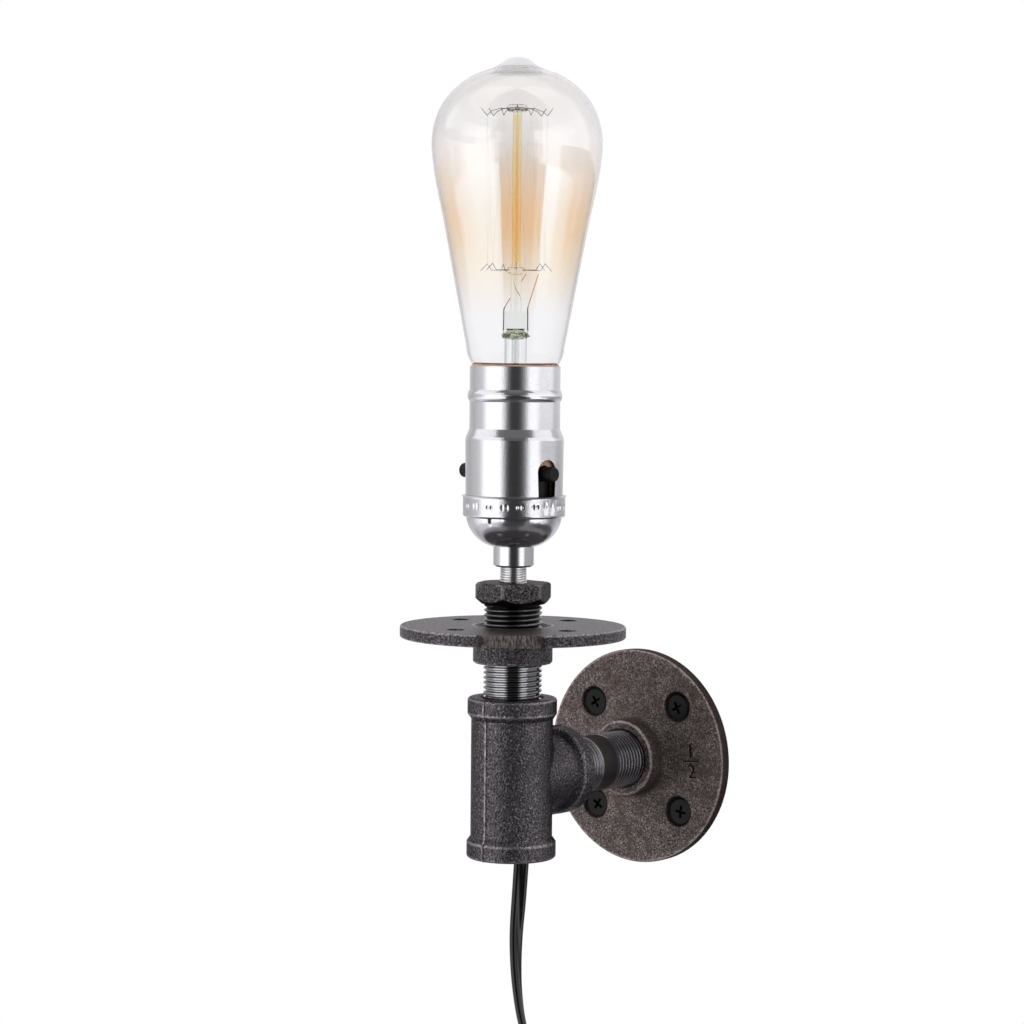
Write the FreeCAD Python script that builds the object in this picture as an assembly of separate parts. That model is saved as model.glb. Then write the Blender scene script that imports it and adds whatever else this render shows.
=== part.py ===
import FreeCAD, Part
import math
import os

V = FreeCAD.Vector
X, Y, Z = V(1, 0, 0), V(0, 1, 0), V(0, 0, 1)
origin = V(0, 0, 0)

# Pipe wall light, millimetres.
# The origin is the centre of the wall flange's back face. +Y goes into the wall, +Z is up.
# A threaded arm leads to a tee, and the lamp stands on the tee, on the line x = 0, y = -lamp_out.

# Half-inch pipe thread, shared by every pipe joint
thread_r = 10.75
pipe_bore_r = 7.9
thread_fit = 0.05

# Floor flange, used twice: on the wall and under the lamp
flange_r = 41.6
flange_plate = 4.5
flange_edge = 0.8
flange_tall = 13.9
hub_r = 14.65
hub_fillet = 3.0
hub_edge = 0.7
hub_mouth = 0.9
back_sink_r = 14.4
back_sink = 2.6
hole_ring_r = 28.5
hole_r = 3.3
sink_r = 6.2
gate_flat = 21.6
wall_flange_turn = 181.5
shelf_flange_turn = 52.0

# Wall screws, countersunk with a cross recess
screw_head_r = 5.1
screw_neck_r = 2.6
screw_shank_r = 2.3
screw_length = 19.0
screw_point = 5.0
cross_long = 5.4
cross_wide = 1.1
cross_deep = 1.8
seat_gap = 0.05

# Arm nipple between the wall flange and the tee
arm_gap = 36.6
arm_in_hub = 10.0
arm_in_tee = 5.6

# Tee
tee_half = 29.7
branch_long = 30.0
band_r = 16.5
band_wide = 6.0
band_slope = 2.0
band_edge = 1.2
body_r = 15.1
branch_body_r = 14.4
saddle_fillet = 3.5
tee_thread_deep = 13.0
tee_chamber_r = 10.2
tee_mouth = 1.1
seam_wide = 0.7
seam_high = 0.35

# Riser nipple between the tee and the upper flange
riser_gap = 12.65
riser_in_tee = 12.0
riser_in_hub = 6.0

# Hex bushing that reduces the pipe thread to the lamp thread
bushing_gap = 8.0
bushing_in_flange = 6.4
hex_flats = 24.8
hex_tall = 7.8
hex_under = 2.3
hex_edge = 0.7
hex_turn = -6.9
bushing_thread_deep = 11.0

# Lamp nipple, the hollow threaded rod that carries the socket
lamp_rod_r = 5.0
lamp_rod_bore_r = 3.6
lamp_rod_gap = 5.9
lamp_rod_in_bushing = 10.5
lamp_rod_in_cap = 8.4

# Neck bushing of the socket's cap, and its set screw
neck_r = 7.48
neck_tall = 7.3
neck_spigot_r = 6.3
neck_rivet_r = 7.7
neck_rivet = 0.9
set_screw_r = 1.5
set_screw_turn = 110.0

# Socket cap, a deep-drawn cup
cap_wall = 0.8
cap_foot_r = 7.9
cap_dome_in = 1.25
cap_dome_tall = 10.8
cap_dome_mid_in = 3.05
cap_dome_mid_up = 4.1
collar_fit = 0.24
collar_tall = 8.1
collar_flare = 0.35
dent_count = 20
dent_r = 1.2
dent_deep = 0.4

# Socket shell
shell_wall = 0.5
shell_foot_in = 0.34
shell_step = 1.47
shell_body_tall = 27.6
shell_shoulder = 4.0
bead_out = 0.73
bead_half = 2.2
bead_up = 43.7
rim_over_base = 3.8
slot_wide = 8.9
slot_foot_wide = 7.2
slot_tall = 20.7

# Switch: the push rod's line is turned a little from the wall's line
switch_turn = -8.0
switch_up = 15.5
rod_side = 4.0
rod_clearance = 0.08
knob_r = 2.7
knob_long = 6.0
knob_edge = 0.6
knob_rest_gap = 0.4
switch_travel = 6.5

# Moulded switch body, in two halves around the rod
body_flange_air = 0.16
body_flange = 1.3
switch_body_air = 0.18
top_half_tall = 7.2
chamber_long = 19.0
chamber_wide = 8.4
chamber_tall = 7.4
body_rivet_r = 1.2
body_rivet_head_r = 2.2
body_rivet_head = 0.8
rivet_inset = 2.52
rivet_turn = 129.8

# Liners
sleeve_wall = 0.8
sleeve_fit = 0.15
sleeve_air = 0.88
sleeve_under_rim = 0.35
sleeve_slot_wide = 7.0
sleeve_slot_drop = 2.0
cap_liner_wall = 0.7

# Contacts
brass = 0.5
contact_gap = 0.3
contact_long = 4.0
contact_from = 4.5
neck_from = 2.6
neck_long = 2.0
terminal_r = 2.7
terminal_head = 1.9
terminal_inset = 5.4
neutral_inset = 4.8
neutral_strap_in = 2.6
strap_end_inset = 2.2
screw_shell_gap = 0.4
screw_shell_wall = 0.45
screw_shell_lip = 0.4
screw_shell_tall = 26.0
screw_shell_hole_r = 6.5
tongue_rise = 2.3

# Bulb with a medium screw base
bulb_r = 31.2
bulb_wide_up = 84.3
bulb_dome_tall = 27.8
bulb_tip_r = 8.7
bulb_tip = 4.1
glass_wall = 0.9
base_r = 13.05
base_wall = 0.4
neck_glass_gap = 0.2
base_tall = 20.0
base_contact_r = 4.3
base_contact = 1.2
base_long = 25.0
contact_air = 0.1

# Inside the bulb, heights counted from the rim of the screw base
stem_turn = 40.0
stem_foot = -5.6
press_foot = 14.6
stem_tube_r = 4.1
stem_wall = 0.8
press_half = 4.9
press_thick = 3.2
press_tall = 9.2
post_long = 13.4
stem_rod_r = 2.0
mast_r = 1.6
lower_button_r = 3.3
lower_button = 3.6
upper_button_r = 3.9
upper_button = 1.8
upper_button_over = 12.5
support_wire_r = 0.25
filament_r = 0.2
hook_circle_r = 13.6
hook_count = 7
hook_turn = 129.4
upper_dip_r = 11.3
upper_dip = 2.7
upper_lean = 1.0
lower_peak_r = 10.9
lower_peak = 2.5
lead_turns = (38.0, 16.0)
lead_knee = 1.6
lead_under_hooks = 1.1

# Cord: flat two-core lead, as wide as this diameter
cord_d = 5.6
lead_r = 1.3
coil_r = 38.0
coil_step = 6.5
layer_step = 6.5
layer_count = 4
coil_turns = 8.125
coil_start_angle = 45.0
tail_long = 20.0

# Cord tie and plug
tie_wide = 12.0
tie_wall = 1.2
tie_gap = 0.3
plug_long = 32.0
plug_wide = 24.0
plug_thick = 13.0
relief_long = 20.0
blade_long = 17.5
blade_wide = 6.4
blade_thick = 1.5
blade_apart = 12.7

# Worked out from the sizes above: radii of the bulb's base and of what lies round it
neck_glass_r = base_r - base_wall - neck_glass_gap
screw_shell_r = base_r + screw_shell_gap
sleeve_bore_r = screw_shell_r + screw_shell_wall + screw_shell_lip + sleeve_air
sleeve_r = sleeve_bore_r + sleeve_wall
shell_neck_r = sleeve_r + sleeve_fit + shell_wall
shell_body_r = shell_neck_r + shell_step
shell_foot_r = shell_body_r - shell_foot_in
bead_r = shell_neck_r + bead_out
collar_r = shell_foot_r + collar_fit + cap_wall
collar_lip_r = collar_r + collar_flare
cap_dome_r = collar_r - cap_dome_in
cap_dome_mid_r = cap_dome_r - cap_dome_mid_in
body_flange_r = shell_foot_r - shell_wall - body_flange_air
switch_body_r = sleeve_bore_r - switch_body_air
terminal_aside = switch_body_r - terminal_inset
neutral_aside = switch_body_r - neutral_inset
neutral_at = neutral_aside - neutral_strap_in
terminal_end = switch_body_r - strap_end_inset

# Worked out from the sizes above: places along the wall's and the lamp's lines
lamp_out = flange_tall + arm_gap + branch_long
shelf_hub_z = tee_half + riser_gap
shelf_top_z = shelf_hub_z + flange_tall
hex_foot_z = shelf_top_z + bushing_gap
hex_top_z = hex_foot_z + hex_tall
neck_foot_z = hex_top_z + lamp_rod_gap
cap_foot_z = neck_foot_z + neck_tall
cap_step_z = cap_foot_z + cap_dome_tall + cap_wall
shell_foot_z = cap_step_z + seat_gap
body_foot_z = cap_step_z + seat_gap
body_z = body_foot_z + body_flange
rod_z = body_foot_z + switch_up
body_top_z = rod_z + top_half_tall
contact_z = body_top_z + brass + tongue_rise + contact_air
base_top_z = contact_z + base_long
shell_top_z = base_top_z + rim_over_base
shell_tall = shell_top_z - shell_foot_z
bulb_top_up = bulb_wide_up + bulb_dome_tall
lower_button_z = press_foot + press_tall + post_long
upper_button_z = bulb_wide_up + upper_button_over
lower_hook_z = lower_button_z + lower_button / 2
upper_hook_z = upper_button_z + upper_button / 2


def at(shape, x=0.0, y=0.0, z=0.0):
    # A copy of the shape, moved
    moved = shape.copy()
    moved.translate(V(x, y, z))
    return moved


def on_lamp(shape, z=0.0):
    # From the lamp's own line to its place in the row's frame
    return at(shape, 0, -lamp_out, z)


def along_switch(shape):
    # From a frame with +X along the push rod to its place at the rod's height
    turned_shape = shape.copy()
    turned_shape.rotate(origin, Z, switch_turn)
    return on_lamp(turned_shape, rod_z)


def outline_wire(points):
    # Closed outline in the XZ plane: (x, z) is a straight side, ((x, z), (x, z)) an arc's middle and end,
    # and a list of (x, z) a smooth curve through them
    first = V(points[0][0], 0, points[0][1])
    here = first
    edges = []
    for item in points[1:]:
        if isinstance(item, list):
            spots = [here] + [V(x, 0, z) for x, z in item]
            curve = Part.BSplineCurve()
            curve.interpolate(spots)
            end = spots[-1]
            edges.append(curve.toShape())
        elif isinstance(item[0], tuple):
            middle = V(item[0][0], 0, item[0][1])
            end = V(item[1][0], 0, item[1][1])
            edges.append(Part.Arc(here, middle, end).toShape())
        else:
            end = V(item[0], 0, item[1])
            edges.append(Part.LineSegment(here, end).toShape())
        here = end
    if here.distanceToPoint(first) > 1e-6:
        edges.append(Part.LineSegment(here, first).toShape())
    return Part.Wire(edges)


def cap_arc(radius, low, tall):
    # Middle and end of an arc from (radius, low) up to the axis, centred on the axis
    curve_r = (radius ** 2 + tall ** 2) / (2 * tall)
    half = math.atan2(radius, curve_r - tall) / 2
    centre = low + tall - curve_r
    return ((curve_r * math.sin(half), centre + curve_r * math.cos(half)), (0, low + tall))


def turned(points):
    # A full turn of an outline about Z
    return Part.Face(outline_wire(points)).revolve(origin, Z, 360)


def rod(radius, low, high, centre=(0.0, 0.0)):
    return Part.makeCylinder(radius, high - low, V(centre[0], centre[1], low), Z)


def ring(outer, inner, low, high):
    return rod(outer, low, high).cut(rod(inner, low - 1, high + 1))


def block(x, y, z):
    # A box from three (low, high) pairs
    return Part.makeBox(x[1] - x[0], y[1] - y[0], z[1] - z[0], V(x[0], y[0], z[0]))


def polar(radius, degrees, z=0.0):
    a = math.radians(degrees)
    return V(radius * math.cos(a), radius * math.sin(a), z)


def rounded_path(points, share=0.45, radii=None):
    # Straight runs joined by tangent arcs, each as large as its two runs allow
    edges = []
    here = points[0]
    for before, corner, after in zip(points, points[1:], points[2:]):
        back = before - corner
        ahead = after - corner
        half_turn = (math.pi - back.getAngle(ahead)) / 2
        reach = share * min(back.Length, ahead.Length)
        if radii is not None:
            radii.append(reach / math.tan(half_turn))
        back.normalize()
        ahead.normalize()
        start = corner + back * reach
        end = corner + ahead * reach
        inward = back + ahead
        inward.normalize()
        radius = reach / math.tan(half_turn)
        middle = corner + inward * (radius / math.cos(half_turn) - radius)
        if here.distanceToPoint(start) > 1e-6:
            edges.append(Part.LineSegment(here, start).toShape())
        edges.append(Part.Arc(start, middle, end).toShape())
        here = end
    edges.append(Part.LineSegment(here, points[-1]).toShape())
    return edges


def tube(edges, radius, direction):
    # A round bar along a path that starts in the given direction
    path = Part.Wire(edges)
    start = path.OrderedVertexes[0].Point
    circle = Part.Wire([Part.Circle(start, direction, radius).toShape()])
    return path.makePipeShell([circle], True, False)


def wire_bar(points, radius, share=0.45):
    # A thin wire through a few points, its corners rounded
    edges = rounded_path(points, share)
    return tube(edges, radius, points[1] - points[0])


# Floor flange: plate, filleted hub, threaded bore, four countersunk holes and the ground gate
def floor_flange():
    low = flange_edge * 0.3
    body = turned([
        (0, 0),
        (flange_r - flange_edge, 0),
        ((flange_r - low, low), (flange_r, flange_edge)),
        (flange_r, flange_plate - flange_edge),
        ((flange_r - low, flange_plate - low), (flange_r - flange_edge, flange_plate)),
        (hub_r + hub_fillet, flange_plate),
        ((hub_r + hub_fillet * 0.293, flange_plate + hub_fillet * 0.293), (hub_r, flange_plate + hub_fillet)),
        (hub_r, flange_tall - hub_edge),
        (hub_r - hub_edge, flange_tall),
        (0, flange_tall),
    ])
    bore_r = thread_r + thread_fit
    bore = turned([
        (0, -1),
        (back_sink_r + 1, -1),
        (back_sink_r, 0),
        (bore_r, back_sink),
        (bore_r, flange_tall - hub_mouth),
        (bore_r + hub_mouth, flange_tall),
        (bore_r + hub_mouth + 1, flange_tall + 1),
        (0, flange_tall + 1),
    ])
    body = body.cut(bore)
    sink_deep = sink_r - hole_r
    screw_hole = turned([
        (0, -1),
        (hole_r, -1),
        (hole_r, flange_plate - sink_deep),
        (sink_r, flange_plate),
        (sink_r + 1, flange_plate + 1),
        (0, flange_plate + 1),
    ])
    for quarter in range(4):
        place = polar(hole_ring_r, 45 + 90 * quarter)
        body = body.cut(at(screw_hole, place.x, place.y))
    flat_at = math.sqrt(flange_r ** 2 - (gate_flat / 2) ** 2)
    gate = block((flat_at, flange_r + 1), (-gate_flat, gate_flat), (-1, flange_plate + 1))
    return body.cut(gate)


def wall_flange():
    shape = floor_flange()
    shape.rotate(origin, Z, wall_flange_turn)
    shape.rotate(origin, X, 90)
    return shape


def shelf_flange():
    shape = floor_flange()
    shape.rotate(origin, Z, shelf_flange_turn)
    shape.rotate(origin, X, 180)
    return on_lamp(shape, shelf_top_z)


# One countersunk screw, its head towards +Z and the plate's front face at z = 0
def flat_screw():
    sink = sink_r - screw_head_r - seat_gap
    head_deep = screw_head_r - screw_neck_r
    tip = sink + screw_length
    body = turned([
        (0, -sink),
        (screw_head_r, -sink),
        (screw_neck_r, -sink - head_deep),
        (screw_neck_r, -flange_plate),
        (screw_shank_r, -flange_plate),
        (screw_shank_r, -tip + screw_point),
        (0, -tip),
    ])
    for angle in (0, 90):
        arm = block((-cross_long / 2, cross_long / 2), (-cross_wide / 2, cross_wide / 2), (-cross_deep, 1))
        arm.rotate(origin, Z, angle + 20)
        body = body.cut(at(arm, 0, 0, -sink))
    return body


def wall_screws():
    solids = []
    for quarter in range(4):
        screw = flat_screw()
        screw.rotate(origin, Z, 23 * quarter)
        place = polar(hole_ring_r, 45 + 90 * quarter, flange_plate)
        screw = at(screw, place.x, place.y, place.z)
        screw.rotate(origin, Z, wall_flange_turn)
        screw.rotate(origin, X, 90)
        solids.append(screw)
    return Part.makeCompound(solids)


# Pipe nipples: plain bars at the thread's crest, with chamfered ends
def pipe_nipple(long):
    edge = 1.2
    return turned([
        (pipe_bore_r, 0),
        (thread_r - edge, 0),
        (thread_r, edge),
        (thread_r, long - edge),
        (thread_r - edge, long),
        (pipe_bore_r, long),
    ])


def arm_nipple():
    shape = pipe_nipple(arm_in_hub + arm_gap + arm_in_tee)
    shape.rotate(origin, X, 90)
    return at(shape, 0, -flange_tall + arm_in_hub, 0)


def riser_nipple():
    shape = pipe_nipple(riser_in_tee + riser_gap + riser_in_hub)
    return on_lamp(shape, tee_half - riser_in_tee)


# Tee: a run with a band at each end, a branch to the wall, and the casting's parting seam
def banded(end_low, end_high, middle_r, grow=0.0):
    # Outer form of a straight stretch with a band at one or both ends
    r = band_r + grow
    m = middle_r + grow
    e = band_edge
    k = e * 0.293
    low = [(0, end_low)]
    if end_low < 0:
        low += [
            (r - e, end_low),
            ((r - k, end_low + k), (r, end_low + e)),
            (r, end_low + band_wide),
            (m, end_low + band_wide + band_slope),
        ]
    else:
        low += [(m, end_low)]
    high = [
        (m, end_high - band_wide - band_slope),
        (r, end_high - band_wide),
        (r, end_high - e),
        ((r - k, end_high - k), (r - e, end_high)),
        (0, end_high),
    ]
    return turned(low + high)


def threaded_mouth(end):
    # Bore from a band's face inwards, with a chamfered mouth
    bore_r = thread_r + thread_fit
    return turned([
        (0, 0),
        (tee_chamber_r, 0),
        (tee_chamber_r, end - tee_thread_deep),
        (bore_r, end - tee_thread_deep + 1),
        (bore_r, end - tee_mouth),
        (bore_r + tee_mouth, end),
        (bore_r + tee_mouth + 1, end + 1),
        (0, end + 1),
    ])


def along_y(shape):
    # From +Z to +Y
    turned_shape = shape.copy()
    turned_shape.rotate(origin, X, -90)
    return turned_shape


def tee():
    run = banded(-tee_half, tee_half, body_r)
    branch = along_y(banded(0.0, branch_long, branch_body_r))
    body = run.fuse(branch)
    saddle = []
    for edge in body.Edges:
        box = edge.BoundBox
        if box.YMin > 0 and box.YMax < body_r + 0.1 and box.ZLength > branch_body_r and box.XLength > branch_body_r:
            saddle.append(edge)
    if saddle:
        body = body.makeFillet(saddle_fillet, saddle)
    plate = block((-seam_wide / 2, seam_wide / 2), (-band_r - 1, 0), (-tee_half, tee_half))
    run_seam = banded(-tee_half, tee_half, body_r, seam_high).common(plate)
    branch_plate = block((-seam_wide / 2, seam_wide / 2), (body_r - 1, branch_long), (-band_r - 1, band_r + 1))
    branch_seam = along_y(banded(0.0, branch_long, branch_body_r, seam_high)).common(branch_plate)
    body = body.fuse([run_seam, branch_seam])
    mouth = threaded_mouth(tee_half)
    lower_mouth = mouth.copy()
    lower_mouth.rotate(origin, X, 180)
    branch_mouth = along_y(threaded_mouth(branch_long))
    body = body.cut(mouth.fuse([lower_mouth, branch_mouth]))
    return on_lamp(body)


# Hex bushing: chamfered head over a male pipe thread, bored for the lamp nipple
def hex_bushing():
    corner_r = hex_flats / math.sqrt(3)
    corners = [polar(corner_r, 60 * k, 0) for k in range(7)]
    prism = Part.Face(Part.makePolygon(corners)).extrude(V(0, 0, hex_tall))
    cone_r = thread_r + 0.9
    turning = turned([
        (0, 0),
        (cone_r, 0),
        (corner_r + 0.01, hex_under),
        (corner_r + 0.01, hex_tall - hex_edge),
        (corner_r - 1.6 * hex_edge, hex_tall),
        (0, hex_tall),
    ])
    head = prism.common(turning)
    edge = 1.0
    thread = turned([
        (0, -bushing_gap - bushing_in_flange),
        (thread_r - edge, -bushing_gap - bushing_in_flange),
        (thread_r, -bushing_gap - bushing_in_flange + edge),
        (thread_r, 0.5),
        (0, 0.5),
    ])
    body = head.fuse(thread)
    foot = -bushing_gap - bushing_in_flange
    bore = turned([
        (0, foot - 1),
        (pipe_bore_r, foot - 1),
        (pipe_bore_r, hex_tall - bushing_thread_deep - 2),
        (lamp_rod_r + thread_fit, hex_tall - bushing_thread_deep),
        (lamp_rod_r + thread_fit, hex_tall - 0.6),
        (lamp_rod_r + thread_fit + 0.6, hex_tall),
        (lamp_rod_r + thread_fit + 1.6, hex_tall + 1),
        (0, hex_tall + 1),
    ])
    body = body.cut(bore)
    body.rotate(origin, Z, hex_turn)
    return on_lamp(body, hex_foot_z)


def lamp_nipple():
    long = lamp_rod_in_bushing + lamp_rod_gap + lamp_rod_in_cap
    edge = 0.6
    shape = turned([
        (lamp_rod_bore_r, 0),
        (lamp_rod_r - edge, 0),
        (lamp_rod_r, edge),
        (lamp_rod_r, long - edge),
        (lamp_rod_r - edge, long),
        (lamp_rod_bore_r, long),
    ])
    return on_lamp(shape, hex_top_z - lamp_rod_in_bushing)


# Neck bushing, riveted through the cap's foot
def neck_bushing():
    plate_top = neck_tall + cap_wall + seat_gap
    body = turned([
        (0, 0),
        (neck_r - 0.6, 0),
        (neck_r, 0.6),
        (neck_r, neck_tall),
        (neck_spigot_r, neck_tall),
        (neck_spigot_r, plate_top),
        (neck_rivet_r, plate_top),
        (neck_rivet_r - 0.5, plate_top + neck_rivet),
        (0, plate_top + neck_rivet),
    ])
    body = body.cut(rod(lamp_rod_r + thread_fit, -1, plate_top + neck_rivet + 1))
    hole = Part.makeCylinder(set_screw_r + thread_fit, neck_r + 2, V(0, 0, neck_tall / 2), X)
    hole.rotate(origin, Z, set_screw_turn)
    return on_lamp(body.cut(hole), neck_foot_z)


def set_screw():
    start = lamp_rod_r + seat_gap
    body = Part.makeCylinder(set_screw_r, neck_r + 1.2 - start, V(start, 0, neck_tall / 2), X)
    slot = block((neck_r + 0.5, neck_r + 2), (-2, 2), (neck_tall / 2 - 0.25, neck_tall / 2 + 0.25))
    body = body.cut(slot)
    body.rotate(origin, Z, set_screw_turn)
    return on_lamp(body, neck_foot_z)


def inside_dome(inset):
    # The middle of the dome's arc, moved inwards
    return (cap_dome_mid_r - inset * 0.75, cap_dome_mid_up + inset * 0.7)


# Socket cap: flat foot, deep dome, and a collar whose crimp dents grip the shell
def socket_cap():
    w = cap_wall
    dome_top = cap_dome_tall
    top = cap_dome_tall + collar_tall
    body = turned([
        (neck_spigot_r + seat_gap, 0),
        (cap_foot_r, 0),
        ((cap_dome_mid_r, cap_dome_mid_up), (cap_dome_r, dome_top)),
        (collar_r - 0.5, dome_top + 0.2),
        (collar_r, dome_top + 0.9),
        (collar_r, top - 0.9),
        (collar_lip_r, top),
        (collar_lip_r - w, top),
        (collar_r - w, top - 0.9),
        (collar_r - w, dome_top + w),
        (cap_dome_r - w, dome_top + w),
        (inside_dome(w), (cap_foot_r, w)),
        (neck_spigot_r + seat_gap, w),
    ])
    for k in range(dent_count):
        big = k == 0
        radius = dent_r * (1.9 if big else 1.0)
        deep = dent_deep * (1.3 if big else 1.0)
        place = polar(collar_r + radius - deep, switch_turn + 360.0 * k / dent_count, dome_top + 4.6)
        body = body.cut(Part.makeSphere(radius, place))
    return on_lamp(body, cap_foot_z)


def cap_liner():
    # Fibre cup that lies against the inside of the dome
    w = cap_wall + contact_gap
    t = w + cap_liner_wall
    low = cap_wall + neck_rivet + 0.4
    body = turned([
        (neck_rivet_r + 1.0, w + 0.4),
        (inside_dome(w), (cap_dome_r - w, cap_dome_tall)),
        (cap_dome_r - t, cap_dome_tall),
        (inside_dome(t), (neck_rivet_r + 1.0, low)),
    ])
    return on_lamp(body, cap_foot_z)


# Socket shell: straight skirt, shoulder, rolled bead and rim, with a slot for each end of the rod
def shell_outline(inset, top):
    foot = shell_foot_r - inset
    body = shell_body_r - inset
    neck = shell_neck_r - inset
    bead = bead_r - inset
    shoulder = shell_body_tall + shell_shoulder
    return [
        (foot, 0),
        (body, shell_body_tall),
        ((body - 0.25, shell_body_tall + 1.1), (body - 0.65, shell_body_tall + 2.0)),
        (neck, shoulder),
        (neck, bead_up - bead_half),
        ((bead, bead_up), (neck, bead_up + bead_half)),
        (neck, top),
    ]


def through_slots(wide, foot_wide, high, far):
    # An upright slot with a round top that narrows downwards, right through along the push rod's line
    low = -1.0
    radius = wide / 2
    spring = high - radius
    edges = [
        Part.LineSegment(V(-far, radius, spring), V(-far, foot_wide / 2, low)).toShape(),
        Part.LineSegment(V(-far, foot_wide / 2, low), V(-far, -foot_wide / 2, low)).toShape(),
        Part.LineSegment(V(-far, -foot_wide / 2, low), V(-far, -radius, spring)).toShape(),
        Part.Arc(V(-far, -radius, spring), V(-far, 0, high), V(-far, radius, spring)).toShape(),
    ]
    slots = Part.Face(Part.Wire(edges)).extrude(V(2 * far, 0, 0))
    slots.rotate(origin, Z, switch_turn)
    return slots


def socket_shell():
    outer = shell_outline(0.0, shell_tall)
    inner = shell_outline(shell_wall, shell_tall)
    solid = turned([(0, 0)] + outer + [(0, shell_tall)])
    hollow = turned([(0, 0)] + inner + [(0, shell_tall)])
    body = solid.cut(hollow)
    body = body.cut(through_slots(slot_wide, slot_foot_wide, slot_tall, shell_body_r + 5))
    return on_lamp(body, shell_foot_z)


def insulating_sleeve():
    low = body_z + seat_gap
    high = shell_top_z - sleeve_under_rim
    body = ring(sleeve_r, sleeve_bore_r, low, high)
    slots = through_slots(sleeve_slot_wide, sleeve_slot_wide, slot_tall - sleeve_slot_drop, shell_body_r + 5)
    return on_lamp(body.cut(at(slots, 0, 0, shell_foot_z)))


# Moulded switch body. Its parts are drawn with +X along the rod and z = 0 on the rod's middle
def rod_passage():
    side = rod_side / 2 + rod_clearance
    far = body_flange_r + 3
    guide = block((-far, far), (-side, side), (-side, side))
    room = block(
        (-chamber_long / 2, chamber_long / 2),
        (-chamber_wide / 2, chamber_wide / 2),
        (-chamber_tall / 2, chamber_tall / 2),
    )
    return guide.fuse(room)


def strap_slots():
    # Upright slots for the straps that run down through the body
    gap = 0.05
    span = (contact_from - gap, contact_from + contact_long + gap)
    half = chamber_wide / 2
    low = body_foot_z - rod_z - 1
    high = top_half_tall + 1
    neck = (neck_from - gap, neck_from + neck_long + gap)
    live = block(span, (half - brass - gap, half + gap), (low, 0))
    centre = block(neck, (-half - gap, -half + brass + gap), (0, high))
    neutral = block(span, (-neutral_at - brass - gap, -neutral_at + gap), (low, high))
    return live.fuse([centre, neutral])


def rivet_places():
    ring_r = screw_shell_r - rivet_inset
    spots = [polar(ring_r, side * rivet_turn) for side in (-1, 1)]
    return [(spot.x, spot.y) for spot in spots]


def rivet_holes():
    far = 60
    holes = [rod(body_rivet_r + seat_gap, -far, far, place) for place in rivet_places()]
    return holes[0].fuse(holes[1])


def terminal_places():
    middle = contact_from + contact_long / 2
    return [(middle, terminal_aside), (middle, -neutral_aside)]


def switch_base():
    low = body_foot_z - rod_z
    ledge = low + body_flange
    body = rod(body_flange_r, low, ledge).fuse(rod(switch_body_r, ledge, -seat_gap / 2))
    body = body.cut(rod_passage()).cut(strap_slots()).cut(rivet_holes())
    for place in terminal_places():
        body = body.cut(rod(1.3, low - 1, low + 7, place))
    return along_switch(body)


def switch_top():
    body = rod(switch_body_r, seat_gap / 2, top_half_tall)
    body = body.cut(rod_passage()).cut(strap_slots()).cut(rivet_holes())
    return along_switch(body)


def body_rivets():
    low = body_foot_z - rod_z
    high = top_half_tall + brass + seat_gap
    solids = []
    for place in rivet_places():
        shank = rod(body_rivet_r, low - body_rivet_head, high + body_rivet_head, place)
        lower = rod(body_rivet_head_r, low - body_rivet_head, low, place)
        upper = rod(body_rivet_head_r, high, high + body_rivet_head, place)
        solids.append(along_switch(shank.fuse([lower, upper])))
    return Part.makeCompound(solids)


# Push rod: a square bar with two detent notches, and a knob pressed on each end
def rod_ends():
    right = switch_body_r + knob_rest_gap
    left = -(right + switch_travel)
    return left, right


def push_rod():
    left, right = rod_ends()
    pin = knob_long - 1.5
    side = rod_side / 2
    body = block((left, right), (-side, side), (-side, side))
    ends = Part.makeCylinder(1.2, right - left + 2 * pin, V(left - pin, 0, 0), X)
    body = body.fuse(ends)
    for along in (0.0, -switch_travel):
        notch = Part.makeCylinder(1.3, rod_side + 2, V(along, -side - 1, side + 0.8), Y)
        body = body.cut(notch)
    return along_switch(body)


def knob():
    # Lies along +X from x = 0
    pin = knob_long - 1.5
    body = turned([
        (0, 0),
        (knob_r - 0.3, 0),
        (knob_r, 0.3),
        (knob_r, knob_long - knob_edge),
        ((knob_r - knob_edge * 0.3, knob_long - knob_edge * 0.3), (knob_r - knob_edge, knob_long)),
        (0, knob_long),
    ])
    body = body.cut(rod(1.2 + 0.02, -1, pin + 0.02))
    for k in range(16):
        place = polar(knob_r + 0.25, 22.5 * k)
        body = body.cut(rod(0.4, 0.9, knob_long + 1, (place.x, place.y)))
    body.rotate(origin, Y, 90)
    return body


def push_knobs():
    left, right = rod_ends()
    right_knob = at(knob(), right, 0, 0)
    left_knob = knob()
    left_knob.rotate(origin, Z, 180)
    left_knob = at(left_knob, left, 0, 0)
    return Part.makeCompound([along_switch(right_knob), along_switch(left_knob)])


def bridge_contact():
    # Brass saddle round the rod that joins the two fixed contacts when it is pushed under them
    half = chamber_wide / 2 - brass - contact_gap
    side = rod_side / 2
    long = 2.4
    fit = 0.03
    outer = block((-long, long), (-half, half), (-side - fit - brass, side - 1.0))
    inner = block((-long - 1, long + 1), (-half + brass, half - brass), (-side - fit, side))
    body = outer.cut(inner)
    clip = block((-long, long), (-side - fit - brass, side + fit + brass), (-side - fit - brass, side - 1.0))
    clip = clip.cut(block((-long - 1, long + 1), (-side - fit, side + fit), (-side - fit, side)))
    return along_switch(body.fuse(clip))


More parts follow.
